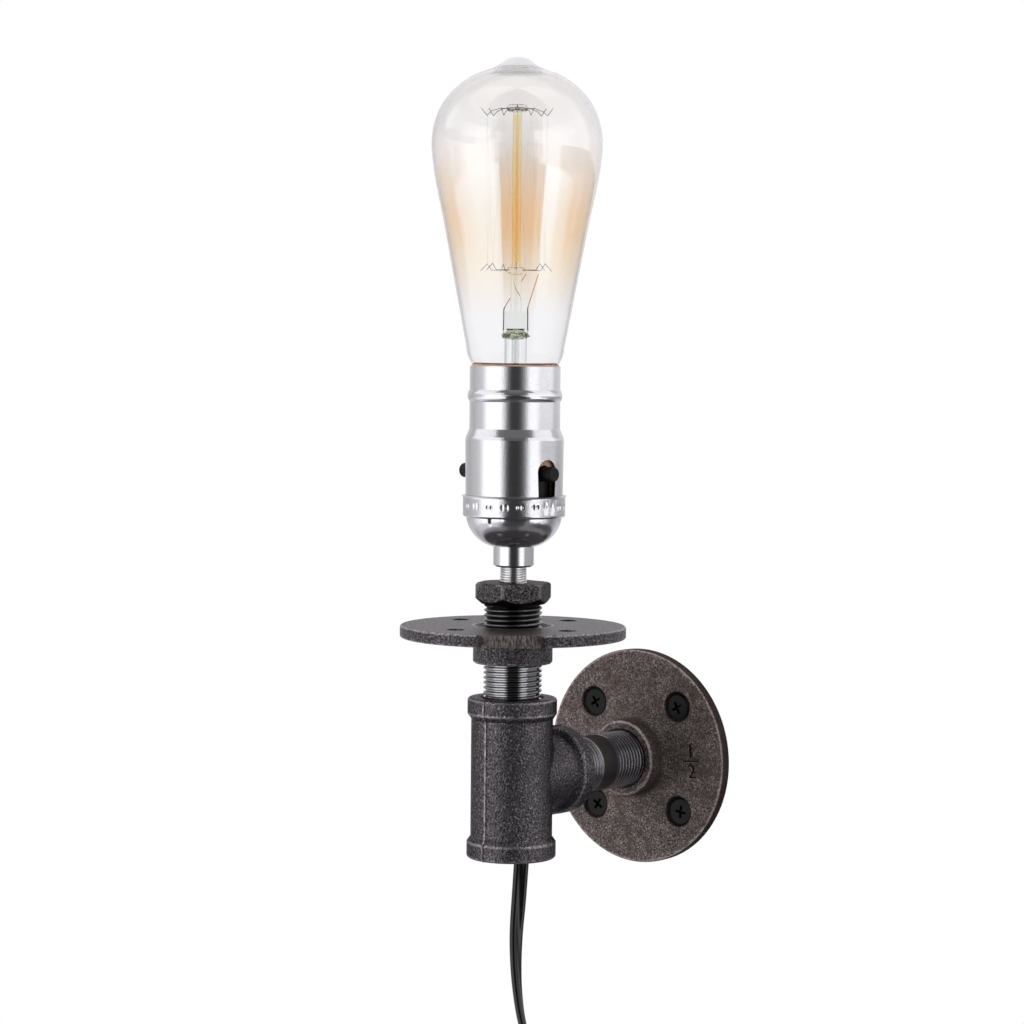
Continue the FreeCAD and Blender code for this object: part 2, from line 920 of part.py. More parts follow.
def detent_spring():
    # Leaf spring over the rod, its round nose over a notch at each end of the travel
    roof = chamber_tall / 2 - seat_gap
    low = rod_side / 2 + 0.1
    t = 0.35
    nose = 0.9
    points = [
        (-8.6, roof - t),
        (-5.0, roof - t),
        (-nose, low + 0.45),
        ((0, low), (nose, low + 0.45)),
        (3.2, roof - t),
        (4.0, roof - t),
        (4.0, roof),
        (3.0, roof),
        (nose * 0.75, low + 0.45 + t),
        ((0, low + t), (-nose * 0.75, low + 0.45 + t)),
        (-4.9, roof),
        (-8.6, roof),
    ]
    strip = Part.Face(outline_wire(points)).extrude(V(0, 3.0, 0))
    return along_switch(at(strip, 0, -1.5, 0))


# Fixed brass parts
def live_strap():
    # From the live terminal under the body up one wall of the chamber
    half = chamber_wide / 2
    low = body_foot_z - rod_z - brass
    span = (contact_from, contact_from + contact_long)
    upright = block(span, (half - brass, half), (low, chamber_tall / 2 - 0.3))
    foot = block(span, (half - brass, terminal_end), (low, low + brass))
    place = terminal_places()[0]
    return upright.fuse(foot).cut(rod(1.3, low - 1, low + 1, place))


def neutral_strap():
    # From the screw shell's floor down through the body to the second terminal
    low = body_foot_z - rod_z - brass
    high = top_half_tall
    span = (contact_from, contact_from + contact_long)
    upright = block(span, (-neutral_at - brass, -neutral_at), (low, high))
    foot = block(span, (-terminal_end - 0.4, -neutral_at), (low, low + brass))
    place = terminal_places()[1]
    return upright.fuse(foot).cut(rod(1.3, low - 1, low + 1, place))


def terminal_straps():
    return Part.makeCompound([along_switch(live_strap()), along_switch(neutral_strap())])


def center_contact():
    # From the chamber's other wall up through the top half, then a bent tongue under the bulb's tip
    half = chamber_wide / 2
    top = top_half_tall
    roof = chamber_tall / 2 - contact_gap
    pad = (contact_from, contact_from + contact_long)
    neck = (neck_from, neck_from + neck_long)
    wall = (-half, -half + brass)
    plate = block(pad, wall, (-roof, roof))
    bar = block((neck[0], pad[1]), wall, (roof - 1.0, roof))
    upright = block(neck, wall, (roof - 1.0, top + brass))
    seat = block(neck, (-half, 1.6), (top, top + brass))
    points = [
        (neck[0] + 1.0, top),
        (neck[0] + 1.0, top + brass),
        (1.5, top + brass + tongue_rise),
        (-3.0, top + brass + tongue_rise),
        (-3.8, top + tongue_rise - 0.4),
        (-3.3, top + tongue_rise - 0.6),
        (-2.7, top + tongue_rise),
        (1.2, top + tongue_rise),
        (neck[0] + 0.1, top),
    ]
    tongue = Part.Face(outline_wire(points)).extrude(V(0, 3.2, 0))
    return along_switch(plate.fuse([bar, upright, seat, at(tongue, 0, -1.6, 0)]))


def terminal_screws():
    low = body_foot_z - rod_z - brass - seat_gap
    solids = []
    for place in terminal_places():
        head = rod(terminal_r, low - terminal_head, low, place)
        shank = rod(1.25, low, low + 6, place)
        across = (place[1] - 0.35, place[1] + 0.35)
        slot = block((place[0] - 4, place[0] + 4), across, (low - 3, low - terminal_head + 0.8))
        solids.append(along_switch(head.fuse(shank).cut(slot)))
    return Part.makeCompound(solids)


def screw_shell():
    # Brass cup that the bulb screws into, riveted to the top half
    r = screw_shell_r
    t = screw_shell_wall
    body = turned([
        (screw_shell_hole_r, 0),
        (r + t - 0.6, 0),
        ((r + t - 0.2, 0.2), (r + t, 0.6)),
        (r + t, screw_shell_tall - 0.5),
        (r + t + screw_shell_lip, screw_shell_tall),
        (r + screw_shell_lip, screw_shell_tall),
        (r, screw_shell_tall - 0.5),
        (r, brass),
        (screw_shell_hole_r, brass),
    ])
    body = at(body, 0, 0, top_half_tall)
    body = body.cut(rivet_holes())
    return along_switch(body)


# Bulb, drawn from the rim of its screw base upwards
def glass_outline(inset):
    # Half outline from the base's rim to the seal at the tip, moved inwards by the inset
    wide = bulb_r
    mid = bulb_wide_up
    neck = neck_glass_r - inset
    rim = rim_over_base
    shoulder = []
    outline = [(wide - 0.5, mid - 6.0), (wide, mid)]
    for inwards, upwards in (
        (0.022, 0.205),
        (0.084, 0.385),
        (0.2, 0.568),
        (0.378, 0.734),
        (0.653, 0.896),
        (1.0, 1.0),
    ):
        outline.append((wide - inwards * (wide - bulb_tip_r), mid + upwards * bulb_dome_tall))
    for r, z in outline:
        a = math.atan2(z - mid + 6.0, r)
        shoulder.append((r - inset * math.cos(a), z - inset * math.sin(a)))
    return [
        (neck, -6.0),
        (neck, rim - 3.6),
        ((neck + 1.3, rim - 1.8), (neck + 3.2, rim + 0.6)),
        ((neck + 4.75, rim + 3.4), (neck + 5.55, rim + 7.2)),
        shoulder[0],
        shoulder[1:],
    ]


def bulb_glass():
    outer = glass_outline(0.0) + [cap_arc(bulb_tip_r, bulb_top_up, bulb_tip)]
    solid = turned([(0, -6.0)] + outer)
    inner = glass_outline(glass_wall)
    last = inner[-1][-1]
    inner.append(cap_arc(last[0], last[1], 1.0))
    hollow = turned([(0, -7.0), (neck_glass_r - glass_wall, -7.0)] + inner)
    return on_lamp(solid.cut(hollow), base_top_z)


def bulb_stem():
    # Flared glass tube, pinched at its top round the lead wires, with the post above it
    inner = stem_tube_r - stem_wall
    flare = neck_glass_r - glass_wall - seat_gap
    tube_body = turned([
        (inner, press_foot),
        (inner, 2.0),
        ((inner + 1.6, -2.6), (flare - 0.8, stem_foot)),
        (flare, stem_foot),
        (flare, stem_foot + 0.9),
        ((stem_tube_r + 1.8, -1.6), (stem_tube_r, 3.0)),
        (stem_tube_r, press_foot),
    ])
    half = press_thick / 2
    round_foot = Part.Wire([
        Part.Arc(polar(stem_tube_r, a, press_foot), polar(stem_tube_r, a + 45, press_foot),
                 polar(stem_tube_r, a + 90, press_foot)).toShape()
        for a in (-45, 45, 135, 225)
    ])
    flat_top = Part.makePolygon([
        V(press_half, -half, press_foot + 3.0),
        V(press_half, half, press_foot + 3.0),
        V(-press_half, half, press_foot + 3.0),
        V(-press_half, -half, press_foot + 3.0),
        V(press_half, -half, press_foot + 3.0),
    ])
    pinch = Part.makeLoft([round_foot, flat_top], True, True)
    press = block((-press_half, press_half), (-half, half), (press_foot + 3.0, press_foot + press_tall))
    post = rod(stem_rod_r, press_foot + press_tall, lower_button_z)
    body = tube_body.fuse([pinch, press, post])
    body.rotate(origin, Z, stem_turn)
    return on_lamp(body, base_top_z)


def stem_post():
    # Upper post with a glass button at each end that holds the support wires
    lower = turned([
        (0, lower_button_z),
        (stem_rod_r, lower_button_z),
        (lower_button_r, lower_button_z + 0.8),
        (lower_button_r, lower_button_z + lower_button - 1.0),
        (mast_r, lower_button_z + lower_button),
        (0, lower_button_z + lower_button),
    ])
    mast = rod(mast_r, lower_button_z + lower_button - 0.2, upper_button_z + 0.2)
    upper = turned([
        (0, upper_button_z),
        (mast_r, upper_button_z),
        ((upper_button_r, upper_button_z + upper_button / 2), (mast_r, upper_button_z + upper_button)),
        cap_arc(mast_r, upper_button_z + upper_button, 0.7),
    ])
    return on_lamp(lower.fuse([mast, upper]), base_top_z)


def hook_angle(place):
    # Hooks are counted clockwise from the back one; the lower ones stand half a place further on
    return hook_turn - 360.0 * place / hook_count


def crown_spot(radius, degrees, above):
    # A spot on the upper crown of hooks, which leans a little
    lean = upper_lean * radius / hook_circle_r * math.cos(math.radians(degrees - hook_turn))
    return polar(radius, degrees, upper_hook_z + above + lean)


def upper_supports():
    # Wires that run out from the upper button and dip in a V where the filament lies
    solids = []
    for place in range(1, hook_count + 1):
        angle = hook_angle(place)
        points = [
            polar(upper_button_r - 0.25, angle, upper_hook_z),
            crown_spot(upper_dip_r - 4.8, angle, -0.1),
            crown_spot(upper_dip_r - 1.7, angle, -1.0),
            crown_spot(upper_dip_r, angle, -upper_dip),
            crown_spot(hook_circle_r, angle, 0.1),
        ]
        solids.append(on_lamp(wire_bar(points, support_wire_r, 0.2), base_top_z))
    return Part.makeCompound(solids)


def lower_supports():
    # Wires with a peak that the filament is drawn up against; the leads take the last one's place
    level = lower_hook_z
    solids = []
    for place in range(1, hook_count):
        angle = hook_angle(place + 0.5)
        points = [
            polar(lower_button_r - 0.25, angle, level),
            polar(lower_peak_r - 1.7, angle, level - 0.1),
            polar(lower_peak_r, angle, level + lower_peak),
            polar(hook_circle_r - 0.2, angle, level - 0.3),
        ]
        solids.append(on_lamp(wire_bar(points, support_wire_r, 0.2), base_top_z))
    return Part.makeCompound(solids)


def lead_tip(turn):
    # Where a lead ends under the gap in the lower hooks
    return polar(hook_circle_r, hook_turn - turn, lower_hook_z - lead_under_hooks)


def filament():
    # One fine wire from lead to lead, over each upper hook and under each lower one
    aside = support_wire_r + filament_r + seat_gap
    over = 0.85
    under = 0.95
    rise = V(0, 0, aside)
    points = [lead_tip(lead_turns[0]) + rise]
    for place in range(1, hook_count + 1):
        for side in (-1, 1):
            angle = hook_angle(place) - side * math.degrees(aside / upper_dip_r)
            points.append(crown_spot(upper_dip_r, angle, over - upper_dip))
        if place < hook_count:
            for side in (-1, 1):
                angle = hook_angle(place + 0.5) - side * math.degrees(aside / lower_peak_r)
                points.append(polar(lower_peak_r, angle, lower_hook_z + lower_peak - under))
    points.append(lead_tip(lead_turns[1]) + rise)
    return on_lamp(wire_bar(points, filament_r, 0.3), base_top_z)


def bulb_leads():
    # Two stiff wires from the press to the two ends of the filament
    start = press_foot + press_tall + seat_gap
    knee = start + lead_knee
    solids = []
    for turn, lead in zip((0, 180), lead_turns):
        points = [
            polar(press_half - 0.5, stem_turn + turn, start),
            polar(press_half - 0.6, stem_turn + turn, knee),
            lead_tip(lead),
        ]
        solids.append(on_lamp(wire_bar(points, support_wire_r, 0.4), base_top_z))
    return Part.makeCompound(solids)


def base_shell():
    foot = -base_tall
    body = turned([
        (base_r - base_wall - 0.7, foot),
        (base_r - 0.7, foot),
        (base_r, foot + 1.0),
        (base_r, -0.8),
        (base_r + 0.15, 0),
        (base_r - base_wall + 0.15, 0),
        (base_r - base_wall, -0.8),
        (base_r - base_wall, foot + 1.0),
    ])
    return on_lamp(body, base_top_z)


def base_insulator():
    # Dark glass cone between the screw base and its contact
    low = contact_z + base_contact + seat_gap - base_top_z
    body = turned([
        (0, low),
        (base_contact_r + 0.6, low),
        ((9.5, low + 1.1), (base_r - base_wall - 0.75, -base_tall - seat_gap)),
        (base_r - base_wall - 0.85, -base_tall + 1.2),
        (0, -base_tall + 1.2),
    ])
    return on_lamp(body, base_top_z)


def base_contact_tip():
    body = turned([
        (0, 0),
        (base_contact_r - 1.2, 0),
        ((base_contact_r - 0.3, 0.35), (base_contact_r, base_contact)),
        (0, base_contact),
    ])
    return on_lamp(body, contact_z)


# Cord. The route's points are chosen by hand, in the row's frame
exit_at = V(3.1, -lamp_out + 2.5, -tee_half)
drop_points = [
    exit_at,
    V(2.4, -lamp_out + 2.0, -45.0),
    V(1.5, -lamp_out + 1.3, -60.0),
    V(1.9, -lamp_out + 1.3, -76.0),
    V(4.2, -lamp_out + 1.8, -92.0),
    V(10.3, -lamp_out + 2.3, -105.7),
    V(20.6, -lamp_out + 2.3, -116.0),
]


def coil_centre():
    start = drop_points[-1]
    a = math.radians(coil_start_angle)
    return V(start.x - coil_r * math.cos(a), start.y, start.z - coil_r * math.sin(a))


def coil_nodes():
    # Points about a quarter turn apart: the loops run in and out again, and climb where they reverse
    centre = coil_centre()
    turns = (coil_turns - 0.5 * (layer_count - 1)) / layer_count
    steps = round(turns * 4)
    radius = coil_r
    depth = 0.0
    angle = coil_start_angle
    found = [(radius, depth, angle)]
    for layer in range(layer_count):
        way = -1 if layer % 2 == 0 else 1
        for step in range(steps):
            radius += way * coil_step * turns / steps
            angle -= 360.0 * turns / steps
            found.append((radius, depth, angle))
        if layer < layer_count - 1:
            for half in range(2):
                radius += (way if half == 0 else -way) * coil_step / 4
                depth += layer_step / 2
                angle -= 90
                found.append((radius, depth, angle))
    nodes = []
    for radius, depth, angle in found:
        a = math.radians(angle)
        nodes.append(V(centre.x + radius * math.cos(a), centre.y + depth, centre.z + radius * math.sin(a)))
    return nodes, found


def coil_direction(found, k):
    # Direction of travel at a node, from the angle and the steps on each side
    before = found[max(k - 1, 0)]
    after = found[min(k + 1, len(found) - 1)]
    a = math.radians(found[k][2])
    turn = math.radians(abs(after[2] - before[2]))
    radial = (after[0] - before[0]) / turn
    climb = (after[1] - before[1]) / turn
    r = found[k][0]
    direction = V(
        r * math.sin(a) + radial * math.cos(a),
        climb,
        -r * math.cos(a) + radial * math.sin(a),
    )
    return direction.normalize()


def biarc(start, start_way, end, end_way):
    # Two arcs that meet tangentially and join two points in the given directions
    chord = end - start
    both = start_way + end_way
    a = 2.0 * (1.0 - start_way.dot(end_way))
    b = 2.0 * chord.dot(both)
    c = -chord.dot(chord)
    reach = (-b + math.sqrt(b * b - 4.0 * a * c)) / (2.0 * a)
    first = start + start_way * reach
    second = end - end_way * reach
    joint = (first + second) * 0.5
    edges = []
    for p, corner, q in ((start, first, joint), (joint, second, end)):
        back = p - corner
        ahead = q - corner
        half_turn = (math.pi - back.getAngle(ahead)) / 2
        radius = back.Length / math.tan(half_turn)
        inward = (back.normalize() + ahead.normalize()).normalize()
        middle = corner + inward * (radius / math.cos(half_turn) - radius)
        edges.append(Part.Arc(p, middle, q).toShape())
    return edges


def coil_edges():
    nodes, found = coil_nodes()
    ways = [coil_direction(found, k) for k in range(len(nodes))]
    lead = drop_points[-1] - drop_points[-2]
    ways[0] = lead.normalize()
    ways[-1] = V(ways[-1].x, 0, ways[-1].z).normalize()
    edges = []
    edges.append(Part.LineSegment(nodes[0] - ways[0] * cord_d, nodes[0]).toShape())
    for p, way, q, next_way in zip(nodes, ways, nodes[1:], ways[1:]):
        edges += biarc(p, way, q, next_way)
    edges.append(Part.LineSegment(nodes[-1], nodes[-1] + ways[-1] * cord_d).toShape())
    return edges, nodes[-1] + ways[-1] * cord_d, ways[-1]


def cord_inner():
    # Inside the pipes, from the tee's mouth up to the cap
    back = (drop_points[0] - drop_points[1]) * 1.16
    points = [
        exit_at,
        exit_at + back,
        V(1.6, -lamp_out + 1.2, 10.0),
        V(0.05, -lamp_out + 0.05, shelf_hub_z - 8.3),
        V(0.0, -lamp_out, cap_foot_z + 3.2),
    ]
    return tube(rounded_path(points), cord_d / 2, points[1] - points[0])


def lead_wires():
    # The cord's two cores, from its split end to the two terminals
    split = cap_foot_z + 3.2 + seat_gap
    under = body_foot_z - brass - terminal_head - seat_gap - lead_r - 0.1
    solids = []
    for place, side in zip(terminal_places(), (1, -1)):
        points = [
            V(0, side * 1.45, split),
            V(0, side * 1.45, split + 1.6),
            V(place[0] * 0.4, place[1] * 0.55, split + 3.4),
            V(place[0], place[1], under),
        ]
        body = wire_bar(points, lead_r)
        body.rotate(origin, Z, switch_turn)
        solids.append(on_lamp(body))
    return Part.makeCompound(solids)


def cord_drop():
    radii = []
    points = list(drop_points)
    back = points[-2] - points[-1]
    points[-1] = points[-1] + back.normalize() * cord_d
    edges = rounded_path(points, 0.45, radii)
    print("cord drop radii", [round(r, 1) for r in radii])
    shape = tube(edges, cord_d / 2, points[1] - points[0])
    report_tube("cord_drop", shape, edges, cord_d)
    return shape


def report_tube(name, shape, edges, diameter):
    length = sum(edge.Length for edge in edges)
    expected = math.pi * diameter ** 2 / 4 * length
    print(name, "length", round(length, 1), "volume share", round(shape.Volume / expected, 4), shape.isValid())


def least_gap(edges, diameter):
    # Least distance between stretches of the tube that are more than half a turn apart
    spots = []
    travelled = 0.0
    for edge in edges:
        count = max(2, int(edge.Length / 3.0))
        first, last = edge.ParameterRange
        for k in range(count):
            spots.append((travelled + edge.Length * k / count, edge.valueAt(first + (last - first) * k / count)))
        travelled += edge.Length
    least = 1e9
    for i, (s, p) in enumerate(spots):
        for t, q in spots[i + 1:]:
            if t - s > 60.0:
                least = min(least, p.distanceToPoint(q))
    return least - diameter


def cord_coil():
    edges, end, way = coil_edges()
    shape = tube(edges, cord_d / 2, coil_edges_start_way())
    report_tube("cord_coil", shape, edges, cord_d)
    print("coil least gap", round(least_gap(edges, cord_d), 2), "tightest", round(
        min(edge.Curve.Radius for edge in edges if hasattr(edge.Curve, "Radius")), 1))
    return shape


def coil_edges_start_way():
    return (drop_points[-1] - drop_points[-2]).normalize()


def tail_points():
    edges, end, way = coil_edges()
    return [end, end + way * tail_long, end + way * tail_long + V(1.2, 0.6, -0.9 * tail_long)]


def cord_tail():
    points = tail_points()
    edges = rounded_path(points)
    shape = tube(edges, cord_d / 2, points[1] - points[0])
    report_tube("cord_tail", shape, edges, cord_d)
    return shape


def plug_frame(shape):
    # From a frame whose -Z runs on along the cord to the tail's end
    points = tail_points()
    turn = FreeCAD.Rotation(V(0, 0, -1), points[2] - points[1])
    moved = shape.copy()
    moved.Placement = FreeCAD.Placement(points[2], turn).multiply(moved.Placement)
    return moved


def plug_body():
    # Moulded plug: a tapered relief, then a flattened body that widens towards the blades
    relief = turned([
        (0, 0),
        (cord_d / 2 + 0.9, 0),
        (cord_d / 2 + 2.6, -relief_long),
        (0, -relief_long),
    ])
    sections = []
    for down, wide, thick in (
        (-2.0, 12.0, 9.5),
        (6.0, 17.0, plug_thick * 0.92),
        (plug_long * 0.5, plug_wide * 0.86, plug_thick * 0.9),
        (plug_long - 5.0, plug_wide, plug_thick),
        (plug_long, plug_wide, plug_thick),
    ):
        sections.append(rounded_section(wide, thick, -relief_long - down))
    body = Part.makeLoft(sections, True, True)
    body = body.fuse(relief)
    fit = 0.02
    half = blade_wide / 2 + fit
    low = -relief_long - plug_long
    for side in (-1, 1):
        x = side * blade_apart / 2
        span = (x - blade_thick / 2 - fit, x + blade_thick / 2 + fit)
        body = body.cut(block(span, (-half, half), (low - 1, low + 8 + fit)))
    return plug_frame(body)


def rounded_section(wide, thick, z):
    # A rectangle with round corners, as straight sides and quarter arcs
    r = min(wide, thick) * 0.38
    a = wide / 2
    b = thick / 2
    k = r * (1 - math.sqrt(0.5))
    corners = [
        (V(a, -b + r, z), V(a, b - r, z), V(a - k, b - k, z), V(a - r, b, z)),
        (V(a - r, b, z), V(-a + r, b, z), V(-a + k, b - k, z), V(-a, b - r, z)),
        (V(-a, b - r, z), V(-a, -b + r, z), V(-a + k, -b + k, z), V(-a + r, -b, z)),
        (V(-a + r, -b, z), V(a - r, -b, z), V(a - k, -b + k, z), V(a, -b + r, z)),
    ]
    edges = []
    for start, end, middle, after in corners:
        edges.append(Part.LineSegment(start, end).toShape())
        edges.append(Part.Arc(end, middle, after).toShape())
    return Part.Wire(edges)


def plug_blades():
    # Two flat blades with a hole, the neutral one wider outside the plug
    top = -relief_long - plug_long
    solids = []
    for side in (-1, 1):
        x = side * blade_apart / 2
        span = (x - blade_thick / 2, x + blade_thick / 2)
        wide = blade_wide + (1.4 if side > 0 else 0.0)
        inside = block(span, (-blade_wide / 2, blade_wide / 2), (top - 1, top + 8))
        outside = block(span, (-wide / 2, wide / 2), (top - blade_long, top - seat_gap))
        hole = Part.makeCylinder(1.6, 4, V(x - 2, 0, top - blade_long + 4.0), X)
        solids.append(plug_frame(inside.fuse(outside).cut(hole)))
    return Part.makeCompound(solids)


def cord_tie():
    # Strap round the bundle of turns, square to them at the left of the coil
    centre = coil_centre()
    nodes, found = coil_nodes()
    inner_r = min(item[0] for item in found) - cord_d / 2 - tie_gap
    outer_r = coil_r + cord_d / 2 + tie_gap
    depth = layer_step * (layer_count - 1)
    low = -cord_d / 2 - tie_gap
    high = depth + cord_d / 2 + tie_gap
    t = tie_wall
    outer = block((inner_r - t, outer_r + t), (low - t, high + t), (-tie_wide / 2, tie_wide / 2))
    inner = block((inner_r, outer_r), (low, high), (-tie_wide, tie_wide))
    body = outer.cut(inner)
    body.rotate(origin, Y, 180)
    return at(body, centre.x, centre.y, centre.z)


nodes = {
    "wall_flange": wall_flange,
    "wall_screws": wall_screws,
    "arm_nipple": arm_nipple,
    "tee": tee,
    "riser_nipple": riser_nipple,
    "shelf_flange": shelf_flange,
    "hex_bushing": hex_bushing,
    "lamp_nipple": lamp_nipple,
    "neck_bushing": neck_bushing,
    "set_screw": set_screw,
    "socket_cap": socket_cap,
    "cap_liner": cap_liner,
    "socket_shell": socket_shell,
    "insulating_sleeve": insulating_sleeve,
    "switch_base": switch_base,
    "switch_top": switch_top,
    "body_rivets": body_rivets,
    "push_rod": push_rod,
    "push_knobs": push_knobs,
    "bridge_contact": bridge_contact,
    "detent_spring": detent_spring,
    "terminal_straps": terminal_straps,
    "terminal_screws": terminal_screws,
    "center_contact": center_contact,
    "screw_shell": screw_shell,
    "bulb_glass": bulb_glass,
    "bulb_stem": bulb_stem,
    "stem_post": stem_post,
    "upper_supports": upper_supports,
    "lower_supports": lower_supports,
    "filament": filament,
    "bulb_leads": bulb_leads,
    "base_shell": base_shell,
    "base_insulator": base_insulator,
    "base_contact": base_contact_tip,
    "cord_inner": cord_inner,
    "lead_wires": lead_wires,
    "cord_drop": cord_drop,
    "cord_coil": cord_coil,
    "cord_tail": cord_tail,
    "cord_tie": cord_tie,
    "plug_body": plug_body,
    "plug_blades": plug_blades,
}

os.makedirs("parts", exist_ok=True)
for name, make in nodes.items():
    shape = make()
    if not shape.isValid():
        print("not valid:", name)
    shape.exportStep(os.path.join("parts", name + ".step"))
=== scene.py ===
import math
import random

import bpy
from mathutils import Matrix, Vector


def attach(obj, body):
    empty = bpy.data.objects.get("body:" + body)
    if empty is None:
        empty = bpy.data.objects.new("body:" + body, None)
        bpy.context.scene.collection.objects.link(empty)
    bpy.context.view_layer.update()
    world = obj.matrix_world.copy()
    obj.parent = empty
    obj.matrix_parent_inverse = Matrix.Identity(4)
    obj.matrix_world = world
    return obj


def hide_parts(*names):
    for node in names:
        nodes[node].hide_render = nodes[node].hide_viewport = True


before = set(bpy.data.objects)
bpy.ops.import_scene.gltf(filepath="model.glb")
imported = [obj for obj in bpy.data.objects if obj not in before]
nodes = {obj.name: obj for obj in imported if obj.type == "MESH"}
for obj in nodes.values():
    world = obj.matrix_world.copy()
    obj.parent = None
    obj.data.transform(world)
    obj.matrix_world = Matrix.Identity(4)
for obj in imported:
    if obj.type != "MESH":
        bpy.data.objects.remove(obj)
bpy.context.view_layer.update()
random.seed(7)
lampLine = (0.0, -0.0805)  # where the lamp's own line stands, in metres
lampFoot = (*lampLine, 0)
sameSpot = 1e-6  # points that are closer than this, in metres, are one
finishes = {}
print("frame loaded,", len(nodes), "nodes")


# small tools for modelling; sizes in this file are millimetres unless a note says otherwise

def deselectAll():
    if bpy.context.object and bpy.context.object.mode != "OBJECT":
        bpy.ops.object.mode_set(mode="OBJECT")
    bpy.ops.object.select_all(action="DESELECT")


def pick(piece):
    deselectAll()
    piece.select_set(True)
    bpy.context.view_layer.objects.active = piece


def openMesh(piece):
    # into edit mode with everything selected
    pick(piece)
    bpy.ops.object.mode_set(mode="EDIT")
    bpy.ops.mesh.select_all(action="SELECT")


def closeMesh():
    bpy.ops.object.mode_set(mode="OBJECT")


def metres(values):
    return [c / 1000 for c in values]


def settle(piece, place=(0, 0, 0), turn=(0, 0, 0)):
    # turn, move (in metres), then put both into the mesh
    pick(piece)
    piece.rotation_euler = [math.radians(a) for a in turn]
    piece.location = place
    bpy.ops.object.transform_apply(location=True, rotation=True, scale=True)


def applyAll(piece):
    pick(piece)
    for modifier in list(piece.modifiers):
        bpy.ops.object.modifier_apply(modifier=modifier.name)


def smooth(piece, angle=35):
    pick(piece)
    bpy.ops.object.shade_smooth_by_angle(angle=math.radians(angle))


def cleanMesh(piece, outwards=True):
    openMesh(piece)
    bpy.ops.mesh.remove_doubles(threshold=sameSpot)
    if outwards:
        bpy.ops.mesh.normals_make_consistent(inside=False)
    closeMesh()


def joinPieces(pieces, name):
    deselectAll()
    for piece in pieces:
        piece.select_set(True)
    bpy.context.view_layer.objects.active = pieces[0]
    bpy.ops.object.join()
    pieces[0].name = name
    pieces[0].data.name = name
    return pieces[0]


def newCurve(name, lines, kind="NURBS", order=3):
    # lines of points in metres, as one curve object
    curve = bpy.data.curves.new(name, "CURVE")
    curve.dimensions = "3D"
    for points in lines:
        spline = curve.splines.new(kind)
        spline.points.add(len(points) - 1)
        for spot, point in zip(spline.points, points):
            spot.co = (*point, 1)
        spline.order_u = order
        spline.use_endpoint_u = True
    piece = bpy.data.objects.new(name, curve)
    bpy.context.scene.collection.objects.link(piece)
    return piece


def toMesh(piece):
    pick(piece)
    bpy.ops.object.convert(target="MESH")
    return bpy.context.object


def drawnLine(name, points, closed=False):
    # a line drawn in the XZ plane, (radius, height), as a mesh of edges
    piece = newCurve(name, [[(r / 1000, 0, z / 1000) for r, z in points]], "POLY")
    piece.data.splines[0].use_cyclic_u = closed
    return toMesh(piece)


def turned(name, points, closed=True, steps=96):
    # spun round Z from its half outline
    piece = drawnLine(name, points, closed)
    openMesh(piece)
    bpy.ops.mesh.spin(steps=steps, angle=2 * math.pi, center=(0, 0, 0), axis=(0, 0, 1))
    closeMesh()
    cleanMesh(piece)
    return piece


def screwed(name, outline, size):
    # an outline wound up round Z, from a turn and a half below its low end to as much above its high end
    pitch, low, high = size["pitch"], size["low"], size["high"]
    start = low - 1.5 * pitch
    piece = drawnLine(name, [(r, start + z) for r, z in outline])
    screw = piece.modifiers.new("thread", "SCREW")
    screw.screw_offset = pitch / 1000
    screw.iterations = math.ceil((high - low) / pitch) + 3
    screw.steps = screw.render_steps = size["steps"]
    applyAll(piece)
    cleanMesh(piece, False)
    return piece


def squeeze(vertex, share):
    # towards the Z axis
    vertex.co.x *= share
    vertex.co.y *= share


def trimEnds(piece, size, fill):
    openMesh(piece)
    for height, keepAbove in ((size["low"], True), (size["high"], False)):
        bpy.ops.mesh.select_all(action="SELECT")
        bpy.ops.mesh.bisect(plane_co=(0, 0, height / 1000), plane_no=(0, 0, 1), use_fill=fill,
                            clear_inner=keepAbove, clear_outer=not keepAbove)
    bpy.ops.mesh.select_all(action="SELECT")
    bpy.ops.mesh.normals_make_consistent(inside=False)
    closeMesh()


def threadBar(name, size):
    # a helical thread as one skin: its groove runs out over the plain stretches, and both ends are cut flat
    pitch, crest, low, high = size["pitch"], size["crest"], size["low"], size["high"]
    root = crest - size["depth"]
    flat = pitch * size["flat"] / 2  # half the width of the crest
    foot = pitch * size["foot"]
    middle = pitch / 2
    worn, lip = 0.06, 0.05  # how far the crest's corners are broken, inwards and along
    outline = [(root, 0), (root, foot), (crest - worn, middle - flat - lip), (crest, middle - flat + lip),
               (crest, middle + flat - lip), (crest - worn, middle + flat + lip), (root, pitch - foot), (root, pitch)]
    piece = screwed(name, outline, size)
    for vertex in piece.data.vertices:
        r = math.hypot(vertex.co.x, vertex.co.y) * 1000
        z = vertex.co.z * 1000
        share = 0.0
        for first, last in size.get("plain", []):
            inside = min(z - first, last - z)
            share = max(share, min(1.0, max(0.0, inside / size["runOut"] + 1)))
        wanted = r + (size.get("blank", crest) - r) * share
        wanted = min(wanted, crest - max(0.0, size["edge"] - min(z - low, high - z)))
        squeeze(vertex, wanted / r)
    trimEnds(piece, size, True)
    return piece


def cutWith(piece, tool, operation="DIFFERENCE"):
    cut = piece.modifiers.new("cut", "BOOLEAN")
    cut.operation, cut.solver, cut.object = operation, "EXACT", tool
    applyAll(piece)
    bpy.data.objects.remove(tool)


def boreOut(piece, radius, low, high, steps=64):
    # a straight bore cut through a piece that stands on Z
    deselectAll()
    bpy.ops.mesh.primitive_cylinder_add(vertices=steps, radius=radius / 1000, depth=(high - low) / 1000,
                                        location=(0, 0, (high + low) / 2000))
    cutWith(piece, bpy.context.object)


